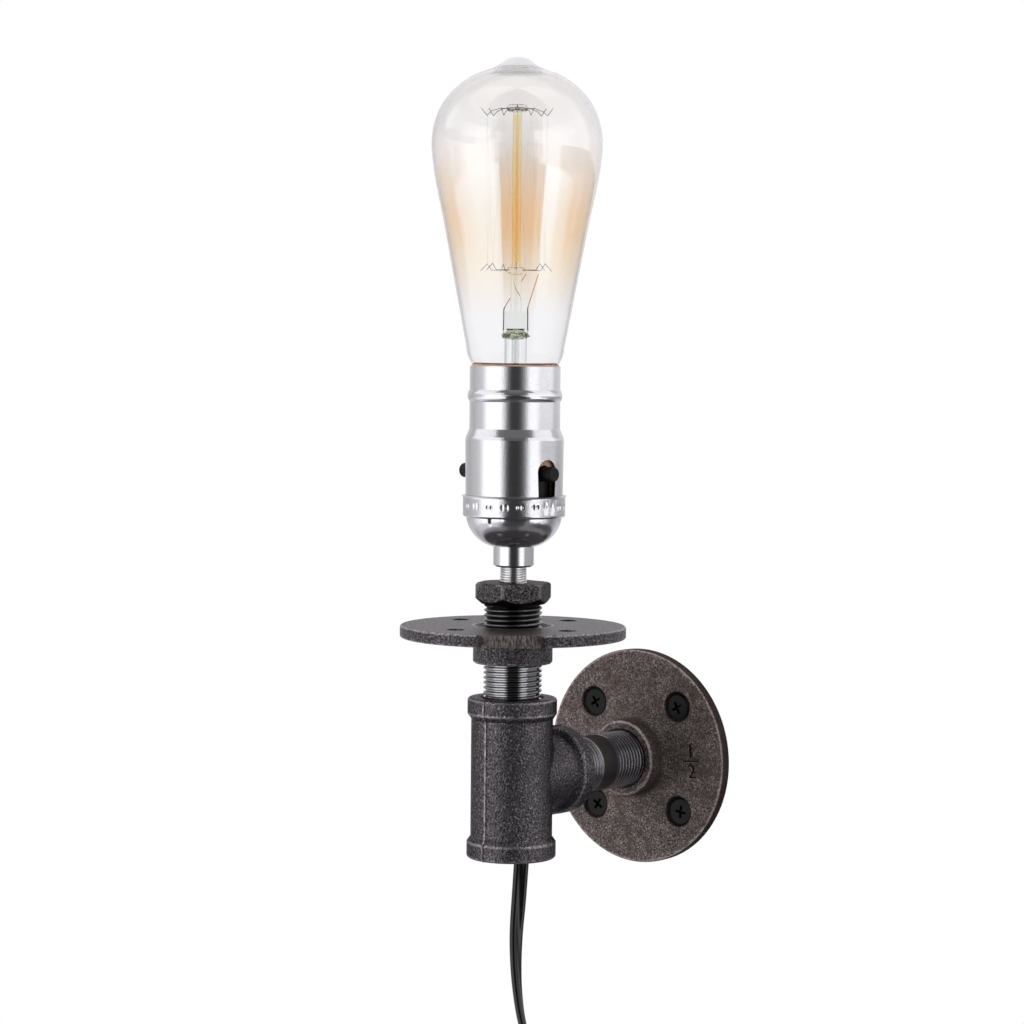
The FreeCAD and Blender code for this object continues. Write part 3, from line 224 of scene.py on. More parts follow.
def roughen(piece, name, grain, push, middle):
    # pushed out and in by clouds of the grain's size
    clouds = bpy.data.textures.new(name, "CLOUDS")
    clouds.noise_scale = grain / 1000
    modifier = piece.modifiers.new(name, "DISPLACE")
    modifier.texture, modifier.strength, modifier.mid_level = clouds, push / 1000, middle
    applyAll(piece)
    bpy.ops.object.shade_smooth()


def dress(piece, name, body, finish, replaced=()):
    # the usual last steps for a new piece
    piece.name = name
    piece.data.materials.clear()
    piece.data.materials.append(finishes[finish])
    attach(piece, body)
    if replaced:
        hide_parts(*replaced)


# small tools for materials

making = {}  # the node tree that is being made, and the shader it feeds


def connect(value, socket):
    if isinstance(value, bpy.types.NodeSocket):
        making["tree"].links.new(value, socket)
    else:
        socket.default_value = value


def feed(**values):
    for key, value in values.items():
        connect(value, making["shader"].inputs[key.replace("_", " ")])


def newMaterial(name, **values):
    material = bpy.data.materials.new(name)
    material.use_nodes = True
    finishes[name] = material
    making["tree"] = material.node_tree
    making["shader"] = material.node_tree.nodes["Principled BSDF"]
    feed(**values)


def addNode(kind, inputs=None, **settings):
    node = making["tree"].nodes.new(kind)
    for key, value in settings.items():
        setattr(node, key, value)
    for key, value in (inputs or {}).items():
        connect(value, node.inputs[key])
    return node


def calc(operation, *values):
    return addNode("ShaderNodeMath", dict(enumerate(values)), operation=operation).outputs[0]


def plus(a, b):
    return calc("ADD", a, b)


def times(a, b):
    return calc("MULTIPLY", a, b)


def away(a, b):
    # the length of two sides at right angles
    return calc("SQRT", plus(times(a, a), times(b, b)))


def remap(value, a, b, c=0.0, d=1.0):
    node = addNode("ShaderNodeMapRange", {"Value": value, "From Min": a, "From Max": b, "To Min": c, "To Max": d})
    node.clamp = True
    return node.outputs[0]


def mixColour(factor, first, second):
    node = addNode("ShaderNodeMix", {0: factor}, data_type="RGBA")
    for index, value in ((6, first), (7, second)):
        connect(value if isinstance(value, bpy.types.NodeSocket) else (*value[:3], 1.0), node.inputs[index])
    return node.outputs[2]


def mixValue(factor, first, second):
    return addNode("ShaderNodeMix", {0: factor, 2: first, 3: second}, data_type="FLOAT").outputs[0]


def objectPlace():
    return addNode("ShaderNodeTexCoord").outputs["Object"]


def stretched(place, scale=(1, 1, 1), offset=(0, 0, 0)):
    return addNode("ShaderNodeMapping", {"Vector": place, "Scale": scale, "Location": offset}).outputs[0]


def noise(place, size, detail=3.0, rough=0.55):
    # noise whose grains are about size millimetres
    values = {"Vector": place, "Scale": 1000.0 / size, "Detail": detail, "Roughness": rough}
    return addNode("ShaderNodeTexNoise", values).outputs["Fac"]


def patches(place, size, low, high, least=0.0, most=1.0, detail=3.0, rough=0.55):
    # noise spread from the low to the high value
    return remap(noise(place, size, detail, rough), low, high, least, most)


def swing(place, size, reach):
    # noise that swings about zero, reach from end to end
    return times(calc("SUBTRACT", noise(place, size), 0.5), reach)


def roundAxis(place, axis="Z", centre=lampFoot):
    # radius and height from an axis, and the three parts of the place, in millimetres
    moved = stretched(place, (1000, 1000, 1000), tuple(-c * 1000 for c in centre))
    split = addNode("ShaderNodeSeparateXYZ", {"Vector": moved})
    radius = away(*[split.outputs[n] for n in "XYZ" if n != axis])
    return radius, split.outputs[axis], split


def bumped(height, distance):
    node = addNode("ShaderNodeBump", {"Height": height, "Distance": distance, "Strength": 1.0})
    feed(Normal=node.outputs["Normal"])


def scaled(colour, share, lift=0.0):
    return [min(1.0, c * share + lift) for c in colour]


# camera, lights and floor, in metres

cameraView = {
    "place": (0.6566, -0.8810, 0.1542), "forward": (-0.6338, 0.7716, -0.0543),
    "roll": -0.5, "lens": 99.3, "sensor": 36, "nearest": 0.01,
}
stageLook = {
    "floorHeight": -0.32, "floorRadius": 0.62, "floorMiddle": (0.0, -0.1), "floorGrain": 40,
    "floorShades": ((0.78, 0.78, 0.78), (0.82, 0.82, 0.82)), "backWhite": 1.0,
    # sine of the elevation, from and to, and the brightness there
    "ceiling": (0.80, 0.92, 1.0, 1.3),
    # the bands of the room, from the ground up: the sines where each turns into the next, and each band's tint
    "bands": [(-0.68, -0.62), (-0.46, -0.42), (-0.21, -0.18), (-0.045, -0.03), (0.22, 0.25), (0.55, 0.60)],
    "tints": [(1.0, 0.98, 1.04), (1.0, 0.98, 1.04), (0.98, 0.98, 1.03), (1.0, 0.99, 1.02), (1.0, 0.99, 1.02),
              (0.98, 0.98, 1.02), (1.0, 1.0, 1.0)],
    # azimuth from the camera in degrees, and how bright each band looks there
    "looks": [
        [(-180, 0.3), (-40, 0.3), (-25, 0.2), (-14, 0.1), (12, 0.1), (20, 0.22), (60, 0.24), (180, 0.3)],
        [(-180, 0.5), (-130, 0.6), (-110, 0.9), (-50, 0.9), (-42, 0.7), (-28, 0.07), (24, 0.07), (34, 0.3), (50, 0.16),
         (70, 0.08), (120, 0.12), (180, 0.4)],
        [(-180, 0.9), (-148, 0.75), (-122, 0.8), (-106, 1.2), (-80, 1.8), (-64, 2.1), (-26, 2.1), (-24, 0.05),
         (40, 0.05), (43, 2.3), (62, 2.3), (68, 1.6), (84, 1.2), (94, 0.5), (106, 0.3), (120, 0.5), (142, 0.8),
         (180, 0.9)],
        [(-180, 0.8), (-150, 0.6), (-130, 0.6), (-90, 0.85), (-72, 1.9), (-36, 1.9), (-29, 1.1), (-23, 0.3),
         (-18, 0.04), (19, 0.04), (26, 0.2), (32, 0.8), (38, 1.6), (58, 1.6), (66, 0.45), (100, 0.48), (140, 0.5),
         (180, 0.8)],
        [(-180, 0.84), (-156, 0.74), (-130, 0.65), (-90, 0.95), (-76, 1.6), (-35, 1.6), (-25, 1.05), (-19, 0.38),
         (-10, 0.07), (10, 0.07), (19, 0.28), (28, 0.8), (36, 1.6), (108, 1.5), (118, 0.95), (142, 0.88), (180, 0.84)],
        [(-180, 1.0), (-126, 0.6), (-116, 1.4), (-34, 1.45), (-28, 0.15), (30, 0.15), (36, 1.4), (108, 1.4), (118, 0.7),
         (180, 1.0)],
        [(-180, 0.9), (-130, 0.7), (-116, 1.3), (-58, 1.3), (-50, 0.2), (50, 0.2), (58, 1.3), (112, 1.3), (126, 0.7),
         (180, 0.9)],
    ],
}


def makeCamera():
    data = bpy.data.cameras.new("camera")
    data.lens = cameraView["lens"]
    data.sensor_width = cameraView["sensor"]
    data.clip_start = cameraView["nearest"]
    camera = bpy.data.objects.new("camera", data)
    bpy.context.scene.collection.objects.link(camera)
    forward = Vector(cameraView["forward"]).normalized()
    turn = forward.to_track_quat("-Z", "Y").to_matrix()
    roll = Matrix.Rotation(math.radians(cameraView["roll"]), 3, forward)
    camera.matrix_world = Matrix.Translation(cameraView["place"]) @ (roll @ turn).to_4x4()
    bpy.context.scene.camera = camera


def makeWorld():
    # mirrors and lighting see a studio with bright walls and a dark middle; the camera sees plain white
    world = bpy.data.worlds.new("studio")
    bpy.context.scene.world = world
    world.use_nodes = True
    making["tree"] = world.node_tree
    world.node_tree.nodes.clear()
    outwards = addNode("ShaderNodeTexCoord").outputs["Generated"]
    back = -Vector(cameraView["forward"])
    cameraAzimuth = math.atan2(back.y, back.x)
    fromCamera = addNode("ShaderNodeMapping", {"Vector": outwards, "Rotation": (0, 0, -cameraAzimuth)}).outputs[0]
    split = addNode("ShaderNodeSeparateXYZ", {"Vector": fromCamera})
    azimuth = calc("ARCTAN2", split.outputs["Y"], split.outputs["X"])
    share = remap(azimuth, -math.pi, math.pi)
    up = split.outputs["Z"]
    look = None
    for k, stops in enumerate(stageLook["looks"]):
        ramp = addNode("ShaderNodeValToRGB", {"Fac": share})
        while len(ramp.color_ramp.elements) < len(stops):
            ramp.color_ramp.elements.new(0.5)
        for element, (degrees, bright) in zip(ramp.color_ramp.elements, stops):
            element.position = degrees / 360 + 0.5
            element.color = (*[bright * part for part in stageLook["tints"][k]], 1)
        if look is None:
            look = ramp.outputs["Color"]
        else:
            look = mixColour(remap(up, *stageLook["bands"][k - 1]), look, ramp.outputs["Color"])
    level = remap(up, *stageLook["ceiling"])
    room = addNode("ShaderNodeBackground", {"Color": look, "Strength": level})
    plain = addNode("ShaderNodeBackground", {"Color": (1, 1, 1, 1), "Strength": stageLook["backWhite"]})
    path = addNode("ShaderNodeLightPath")
    bounced = plus(path.outputs["Glossy Depth"], path.outputs["Diffuse Depth"])
    through = times(calc("GREATER_THAN", path.outputs["Transmission Depth"], 0.5),
                    calc("LESS_THAN", bounced, 0.5))
    seen = calc("MAXIMUM", path.outputs["Is Camera Ray"], through)
    both = addNode("ShaderNodeMixShader", {0: seen, 1: room.outputs[0], 2: plain.outputs[0]})
    addNode("ShaderNodeOutputWorld", {"Surface": both.outputs[0]})
    bpy.context.scene.view_settings.view_transform = "Standard"


def makeFloor():
    look = stageLook
    deselectAll()
    bpy.ops.mesh.primitive_circle_add(vertices=96, radius=look["floorRadius"], fill_type="NGON",
                                      location=(*look["floorMiddle"], look["floorHeight"]))
    floor = bpy.context.object
    floor.name = "floor"
    newMaterial("paleFloor", Roughness=0.6)
    shade = noise(objectPlace(), look["floorGrain"])
    feed(Base_Color=mixColour(shade, *look["floorShades"]))
    floor.data.materials.append(finishes["paleFloor"])
    floor.visible_glossy = False


# threads: flat and foot are shares of the pitch, at the crest and at the root; bored is where the bore starts and ends

pipeThread = {"pitch": 1.814, "crest": 10.75, "depth": 0.45, "flat": 0.64, "foot": 0.06, "edge": 1.0, "steps": 64,
              "bore": 7.9, "place": lampFoot, "turn": (0, 0, 0), "slot": "black_iron"}
threads = {
    "riserThread": {**pipeThread, "depth": 0.85, "flat": 0.34, "foot": 0.12, "low": 17.7, "high": 48.35,
                    "bored": (10, 60), "finish": "shinyThread", "node": "riser_nipple"},
    "armThread": {**pipeThread, "depth": 0.3, "flat": 0.6, "foot": 0.1, "low": 3.9, "high": 56.1, "bored": (0, 60),
                  "plain": [(29.6, 38.2)], "runOut": 1.4, "blank": 10.7, "place": (0, 0, 0), "turn": (90, 0, 0),
                  "finish": "armThread", "node": "arm_nipple"},
    "lampRod": {**pipeThread, "pitch": 0.94, "crest": 5.0, "depth": 0.35, "flat": 0.3, "edge": 0.5, "steps": 48,
                "bore": 3.6, "low": 61.55, "high": 86.35, "bored": (55, 95), "slot": "zinc_steel",
                "finish": "zinc", "node": "lamp_nipple"},
    "bushingThread": {**pipeThread, "depth": 0.95, "flat": 0.16, "low": 49.85, "high": 64.7, "bored": (40, 63),
                      "finish": "darkThread", "node": "hex_bushing"},
}


def makeThread(name):
    size = threads[name]
    bar = threadBar(name, size)
    boreOut(bar, size["bore"], *size["bored"], size["steps"])
    settle(bar, size["place"], size["turn"])
    smooth(bar, 28)
    dress(bar, name, "fixture", size["finish"], [size["node"]])


# cast head of the hex bushing

bushingHead = {"flats": 24.8, "foot": 64.25, "top": 72.05, "turn": -6.9, "under": 2.3, "edge": 0.7, "cone": 11.65,
               "slant": 1.6, "past": 0.01, "bore": 5.05, "voxel": 0.2, "grain": 1.1, "rough": 0.09}


def makeBushing():
    size = bushingHead
    foot, top, edge = size["foot"], size["top"], size["edge"]
    corner = size["flats"] / math.sqrt(3)
    past = corner + size["past"]
    deselectAll()
    bpy.ops.mesh.primitive_cylinder_add(vertices=6, radius=corner / 1000, depth=(top - foot) / 1000)
    head = bpy.context.object
    settle(head, (0, 0, (top + foot) / 2000), (0, 0, 90 + size["turn"]))
    limit = turned("bushingLimit", [(0, foot), (size["cone"], foot), (past, foot + size["under"]), (past, top - edge),
                                    (corner - size["slant"] * edge, top), (0, top)])
    cutWith(head, limit, "INTERSECT")
    boreOut(head, size["bore"], foot - 1, top + 1)
    grid = head.modifiers.new("grid", "REMESH")
    grid.mode = "VOXEL"
    grid.voxel_size = size["voxel"] / 1000
    roughen(head, "bushingGrain", size["grain"], size["rough"], 0.5)
    settle(head, lampFoot)
    dress(head, "bushingHead", "fixture", "bushingCast", ["hex_bushing"])


# wood screws of the wall flange

woodScrew = {
    "head": 5.1, "lip": (0.25, 0.22), "neck": 2.6, "shank": 2.3, "sink": 1.25, "plate": 4.5, "steps": 64,
    # under the plate the neck runs straight, then tapers in
    "straight": 1.0, "taper": (0.3, 1.4),
    # the cross is two wedges: half widths at foot and mouth, how flat, how deep, and how far they stand out
    "cross": (2.2, 3.905, 0.23, 1.9, 0.3),
    "long": 18.6, "point": 5.0, "sharp": 0.15,
    "thread": {"pitch": 2.6, "depth": 0.55, "flat": 0.1, "foot": 0.06, "steps": 32, "edge": 0.0}, "start": 1.2,
    # the four places: a ring, each turned and a little off it
    "ring": 28.5, "first": 226.5, "turns": (12, 40, 71, -14),
    "asides": ((0.3, -0.3), (0.4, -0.3), (-0.9, -0.4), (-0.2, -0.2)),
}


def ringSpot(size, k):
    a = math.radians(size["first"] + 90 * k)
    return size["ring"] * math.cos(a), size["ring"] * math.sin(a)


def makeWallScrews():
    size = woodScrew
    sink, plate, headR, neck, shank = [size[part] for part in ("sink", "plate", "head", "neck", "shank")]
    lipR, lipZ = size["lip"]
    taperR, taperZ = size["taper"]
    outline = [(0, -sink), (headR - lipR, -sink), (headR, -sink - lipZ), (neck, -(sink + headR - neck)),
               (neck, -plate - size["straight"]), (shank - taperR, -plate - taperZ), (0, -plate - taperZ)]
    body = turned("screwHead", outline, steps=size["steps"])
    crossFoot, crossMouth, crossFlat, deep, proud = size["cross"]
    for turn in (45, 135):
        deselectAll()
        bpy.ops.mesh.primitive_cone_add(vertices=4, radius1=crossFoot / 1000, radius2=crossMouth / 1000,
                                        depth=(deep + 2 * proud) / 1000)
        wedge = bpy.context.object
        settle(wedge, turn=(0, 0, 45))
        wedge.scale = (1, crossFlat, 1)
        settle(wedge)
        settle(wedge, (0, 0, (proud - deep / 2 - sink) / 1000), (0, 0, turn))
        cutWith(body, wedge)
    end = sink + size["long"]
    thread = threadBar("screwThread", {**size["thread"], "crest": shank, "low": -end, "high": -plate - size["start"]})
    for vertex in thread.data.vertices:
        squeeze(vertex, min(1.0, (vertex.co.z * 1000 + end + size["sharp"]) / size["point"]))
    screw = joinPieces([body, thread], "wallScrew")
    smooth(screw, 30)
    for k, (turn, (across, up)) in enumerate(zip(size["turns"], size["asides"])):
        copy = screw.copy()
        copy.data = screw.data.copy()
        bpy.context.scene.collection.objects.link(copy)
        x, y = ringSpot(size, k)
        settle(copy, metres((x + across, y + up, plate)), (0, 0, turn))
        settle(copy, turn=(90, 0, 0))
        dress(copy, f"wallScrew{k}", "fixture", "blackScrew", ["wall_screws"])
    bpy.data.objects.remove(screw)


# size figure on the wall flange

sizeMark = {
    "place": (26.55, -4.5, 0.3), "turn": 5.0, "figure": 5.6, "tall": 0.72, "thinner": -0.1,
    "figures": (("1", 1.35), ("2", -6.6)), "bar": (7.0, 0.5),
    # a figure painted dark as its own shade on a lighter copy a little to its lower left, painted as its lit edge:
    # aside, up, height over the plate, finish
    "layers": {"markShade": (0.12, 0.12, 0.5, "markPaintedShade"), "markHighlightEdge": (-0.28, -0.28, 0.3, "markPaintedHighlight")},
}


def figureMark(name, high):
    size = sizeMark
    parts = []
    for text, rise in size["figures"]:
        deselectAll()
        bpy.ops.object.text_add()
        figure = bpy.context.object
        figure.data.body = text
        figure.data.align_x = "CENTER"
        figure.data.size = size["figure"] / size["tall"] / 1000
        figure.data.extrude = high / 1000
        figure.data.offset = size["thinner"] / 1000
        parts.append(toMesh(figure))
        settle(parts[-1], (0, rise / 1000, 0))
    deselectAll()
    bpy.ops.mesh.primitive_cube_add(size=1)
    bar = bpy.context.object
    bar.scale = metres((*size["bar"], 2 * high))
    settle(bar)
    return joinPieces(parts + [bar], name)


# the raised figure's light and shade are painted: a dark copy for its shade, a light copy for its lit edge
def makeSizeMark():
    for name, (aside, up, high, finish) in sizeMark["layers"].items():
        mark = figureMark(name, high)
        settle(mark, metres((aside, up, 0)), (0, 0, sizeMark["turn"]))
        settle(mark, metres(sizeMark["place"]), (90, 0, 0))
        dress(mark, name, "fixture", finish)


# rolled thread of the lamp's base, fading out to a plain ring at both ends

baseThread = {"pitch": 3.63, "wave": 0.5, "radius": 13.05, "low": 128.3, "high": 147.5, "fade": 2.2, "thick": 0.3,
              "points": 16, "steps": 72,
              "foot": [(12.0, 127.5), (12.35, 127.5), (13.05, 128.4), (13.05, 128.8), (12.75, 128.8), (12.7, 128.5)]}


def makeBaseThread():
    size = baseThread
    pitch, radius, half, count = size["pitch"], size["radius"], size["wave"] / 2, size["points"]
    outline = [(radius - half + half * math.cos(2 * math.pi * k / count), pitch * k / count) for k in range(count + 1)]
    wall = screwed("baseThread", outline, size)
    for vertex in wall.data.vertices:
        z = vertex.co.z * 1000
        r = math.hypot(vertex.co.x, vertex.co.y) * 1000
        share = max(0.0, 1 - min(z - size["low"], size["high"] - z) / size["fade"])
        squeeze(vertex, (r + (radius - r) * min(1.0, share)) / r)
    trimEnds(wall, size, False)
    thick = wall.modifiers.new("wall", "SOLIDIFY")
    thick.thickness = size["thick"] / 1000
    thick.offset = -1
    applyAll(wall)
    bpy.ops.object.shade_smooth()
    foot = turned("baseFoot", size["foot"], steps=size["steps"])
    smooth(foot, 40)
    piece = joinPieces([wall, foot], "baseThread")
    settle(piece, lampFoot)
    dress(piece, "baseThread", "bulb", "baseMetal", ["base_shell"])


# glass of the bulb

bulbShape = {
    "base": 147.5, "foot": 141.5, "rim": 151.3, "neck": 12.45, "wall": 0.9, "steps": 144,
    # two arcs from the neck out into the cone, as radius over the neck and height over the socket's rim
    "arcs": [[(0, -3.6), (1.3, -1.8), (3.2, 0.6)], [(3.2, 0.6), (4.75, 3.4), (5.55, 7.2)]],
    # radius and height over the base's rim, up the cone, round the dome and over the sealed tip
    "dome": [(18.0, 11.0), (22.23, 33.43), (26.47, 55.87), (30.7, 78.3), (31.2, 84.3), (30.7, 90.0), (29.31, 95.0),
             (26.7, 100.09), (22.7, 104.7), (16.51, 109.21), (11.4, 111.35), (8.9, 112.2), (7.6, 112.85), (6.3, 113.85),
             (4.6, 115.1), (2.4, 115.95), (0.0, 116.2)],
    "parts": 8,  # pieces of outline between two of these points
    "cap": 11, "capRise": 0.7,  # the inner wall closes above this point, with a little rise
}


def arcPoints(first, middle, last, count):
    # points of the circle through three points, in the outline's plane
    (ax, ay), (bx, by), (cx, cy) = first, middle, last
    squares = (ax * ax + ay * ay, bx * bx + by * by, cx * cx + cy * cy)
    d = 2 * (ax * (by - cy) + bx * (cy - ay) + cx * (ay - by))
    ux = sum(s * side for s, side in zip(squares, (by - cy, cy - ay, ay - by))) / d
    uy = sum(s * side for s, side in zip(squares, (cx - bx, ax - cx, bx - ax))) / d
    r = math.hypot(ax - ux, ay - uy)
    start, end = math.atan2(ay - uy, ax - ux), math.atan2(cy - uy, cx - ux)
    angles = [start + (end - start) * k / count for k in range(count + 1)]
    return [(ux + r * math.cos(a), uy + r * math.sin(a)) for a in angles]


def throughPoints(points, parts):
    # an even curve through points, its tangents from the chords on both sides
    last = len(points) - 1
    chords = [math.dist(points[k], points[k + 1]) for k in range(last)]
    slopes = [tuple((b - a) / chord for a, b in zip(points[k], points[k + 1])) for k, chord in enumerate(chords)]
    tangents = [slopes[0]]
    for k in range(1, last):
        share = chords[k] / (chords[k - 1] + chords[k])
        tangents.append(tuple(a * share + b * (1 - share) for a, b in zip(slopes[k - 1], slopes[k])))
    tangents.append(slopes[-1])
    found = [points[0]]
    for k, chord in enumerate(chords):
        ends = (points[k], tangents[k], points[k + 1], tangents[k + 1])
        for part in range(1, parts + 1):
            t = part / parts
            weights = (2 * t ** 3 - 3 * t ** 2 + 1, (t ** 3 - 2 * t ** 2 + t) * chord,
                       3 * t ** 2 - 2 * t ** 3, (t ** 3 - t ** 2) * chord)
            found.append(tuple(sum(w * p[axis] for w, p in zip(weights, ends)) for axis in (0, 1)))
    return found


def makeBulbGlass():
    size = bulbShape
    neck, wall, parts = size["neck"], size["wall"], size["parts"]
    first, second = [[(neck + r, size["rim"] + z) for r, z in arc] for arc in size["arcs"]]
    outer = [(neck, size["foot"]), first[0]] + arcPoints(*first, parts)[1:] + arcPoints(*second, parts)[1:-1]
    reach = len(outer) + parts * size["cap"]
    outer += throughPoints([(r, size["base"] + z) for r, z in size["dome"]], parts)
    inner = [(neck - wall, size["foot"])]
    for before, here, after in zip(outer[:reach - 1], outer[1:reach], outer[2:]):
        long = math.dist(before, after)
        inner.append((here[0] - wall * (after[1] - before[1]) / long, here[1] + wall * (after[0] - before[0]) / long))
    lastR, lastZ = inner[-1]
    for t in range(1, parts + 1):
        left = 1 - t / parts
        inner.append((lastR * left, lastZ + size["capRise"] * (1 - left ** 2)))
    glass = turned("bulbGlass", outer[::-1] + inner, closed=False, steps=size["steps"])
    pick(glass)
    bpy.ops.object.shade_smooth()
    settle(glass, lampFoot)
    dress(glass, "bulbGlass", "bulb", "bulbFilm", ["bulb_glass"])


# wires and small glass inside the bulb

bulbInside = {
    # seven places round the circle; the upper hooks lean with the glass
    "hooks": 7, "turn": 129.4, "circle": 13.6, "lean": 1.0, "high": 245.2, "low": 186.5, "wobble": 0.35,
    # the hooks' points from the post outwards, as radius and height over their own ring; the third one strays in height
    "upper": [(3.6, 0), (6.5, -0.1), (9.6, -1.0), (11.3, -2.7), (13.6, 0.1)],
    "lower": [(3.0, 0), (9.2, -0.1), (10.9, 2.5), (13.4, -0.3)],
    "wire": 0.115, "thread": 0.018, "threadHigh": (11.3, -2.35), "threadLow": (10.9, 2.1),
    "stemTurn": 40.0, "leadFoot": (4.4, 171.35), "leadBelow": 8.5, "knee": (-0.1, 1.6), "lead": 0.2,
    "leadTip": 185.4, "leadTurns": (38.0, 16.0),
    "tube": (1.0, 1.4, 128.0, 161.8),
}
# the lumpy ring of melted glass at the foot of the press
pressSeal = {"half": (5.0, 3.5, 1.5), "high": 162.6, "lump": 1.5, "rough": 1.5, "middle": 0.6, "rings": (72, 36)}


def atLamp(radius, degrees, height):
    a = math.radians(degrees)
    return (lampLine[0] + radius * math.cos(a) / 1000, lampLine[1] + radius * math.sin(a) / 1000, height / 1000)


def makeWires(name, lines, radius, finish, replaced, order=3):
    # thin round wires through lists of points, as one mesh
    piece = newCurve(name, lines, order=order)
    curve = piece.data
    curve.resolution_u = 5
    curve.bevel_depth = radius / 1000
    curve.bevel_resolution = 1
    curve.use_fill_caps = True
    piece = toMesh(piece)
    bpy.ops.object.shade_smooth()
    dress(piece, name, "bulb", finish, [replaced])


def makePressSeal():
    size = pressSeal
    segments, rings = size["rings"]
    deselectAll()
    bpy.ops.mesh.primitive_uv_sphere_add(segments=segments, ring_count=rings, radius=0.001)
    lump = bpy.context.object
    lump.scale = size["half"]
    settle(lump)
    roughen(lump, "pressLumps", size["lump"], size["rough"], size["middle"])
    settle(lump, (*lampLine, size["high"] / 1000), (0, 0, bulbInside["stemTurn"]))
    dress(lump, "pressSeal", "bulb", "pressGlass")


def makeBulbWires():
    look = bulbInside
    count, turn, low = look["hooks"], look["turn"], look["low"]

    def crown(radius, degrees, above):
        lean = look["lean"] * radius / look["circle"] * math.cos(math.radians(degrees - turn))
        return atLamp(radius, degrees, look["high"] + above + lean)

    def shelf(radius, degrees, above):
        return atLamp(radius, degrees, low + above)

    def hooks(spot, points, places, stray):
        lines = []
        for place in places:
            angle = turn - 360 * place / count
            wobble = random.uniform(-look["wobble"], look["wobble"])
            shifts = [0, 0, wobble, 0]
            bends = [spot(r, angle, z + shift) for (r, z), shift in zip(points[:-1], shifts)]
            r, z = points[-1]
            tip = spot(r + wobble * stray, angle + wobble * 3, z)
            # each corner point twice, so that the bend stays tight
            lines.append([bends[0]] + [p for p in bends[1:] for twice in range(2)] + [tip])
        return lines

    upper = hooks(crown, look["upper"], range(1, count + 1), 1)
    lower = hooks(shelf, look["lower"], [place + 0.5 for place in range(1, count)], 0)
    tips = [atLamp(look["circle"], turn - aside, look["leadTip"]) for aside in look["leadTurns"]]
    (highR, highZ), (lowR, lowZ) = look["threadHigh"], look["threadLow"]
    thread = [tips[0]]
    for place in range(1, count + 1):
        thread += [crown(highR, turn - 360 * place / count, highZ)] * 2
        if place < count:
            thread += [shelf(lowR, turn - 360 * (place + 0.5) / count, lowZ)] * 2
    thread.append(tips[1])
    leads = []
    (footR, footZ), (kneeR, kneeZ) = look["leadFoot"], look["knee"]
    for side, tip in zip((0, 180), tips):
        angle = look["stemTurn"] + side
        leads.append([atLamp(footR, angle, footZ - look["leadBelow"]), atLamp(footR, angle, footZ),
                      atLamp(footR + kneeR, angle, footZ + kneeZ), tip])
    makeWires("upperHooks", upper, look["wire"], "wireMetal", "upper_supports")
    makeWires("lowerHooks", lower, look["wire"], "wireMetal", "lower_supports")
    makeWires("filamentThread", [thread], look["thread"], "filamentMetal", "filament", 2)
    makeWires("leads", leads, look["lead"], "leadMetal", "bulb_leads")
    inner, outer, foot, top = look["tube"]
    tube = turned("exhaustTube", [(inner, foot), (outer, foot), (outer, top), (inner, top)], steps=32)
    smooth(tube, 40)
    settle(tube, lampFoot)
    dress(tube, "exhaustTube", "bulb", "stemGlass")


# socket cap with its crimped collar

capShape = {
    "foot": 85.25, "wall": 0.8, "spigot": 6.35, "footR": 7.9, "mid": (14.5, 4.1), "dome": (17.55, 10.8),
    "collar": 18.8, "lip": 19.15, "top": 18.9, "edge": 0.9, "steps": 480, "rows": 22, "arcs": (26, 12),
    "innerMid": (0.75, 0.7),  # shares of the wall that the inner arc's middle lies in and up
    "shoulder": ((0.5, 0.2), (0.12, 0.5)), "rim": (0.15, 0.1),  # how the collar starts and how its rim is broken
    # crimps: how many, the first one's turn and how much larger it is, height over the foot, depth, half gap, then how
    # far each may stray aside and up, and its share of the width, the height and the depth
    "crimps": 20, "crimpTurn": -8.0, "crimpLarge": 1.9, "crimpUp": 15.2, "crimpDeep": 0.4, "crimpApart": 0.85,
    "stray": (0.8, 0.2), "wides": (0.6, 0.95), "talls": (0.6, 0.9), "deeps": (0.8, 1.2),
    # a punched notch in the dome: degrees, height over the foot, half width, half height, depth
    "notch": (-81.0, 9.6, 0.9, 0.54, 1.1),
    # dents reach this far up and aside, stay outside this radius, and leave out what is shallower than the least
    "reach": (2.5, 4.0), "outside": 15.0, "soft": 0.55, "least": 0.005,
}


def capMarks(size):
    # degrees, height, half width, half height, depth and half gap of each dent
    marks = []
    aside, above = size["stray"]
    for k in range(size["crimps"]):
        large = size["crimpLarge"] if k == 0 else 1.0
        marks.append((size["crimpTurn"] + 360 * k / size["crimps"] + random.uniform(-aside, aside),
                      size["crimpUp"] + random.uniform(-above, above), large * random.uniform(*size["wides"]),
                      large * random.uniform(*size["talls"]), size["crimpDeep"] * random.uniform(*size["deeps"]),
                      size["crimpApart"] * large))
    return marks + [(*size["notch"], 0.0)]


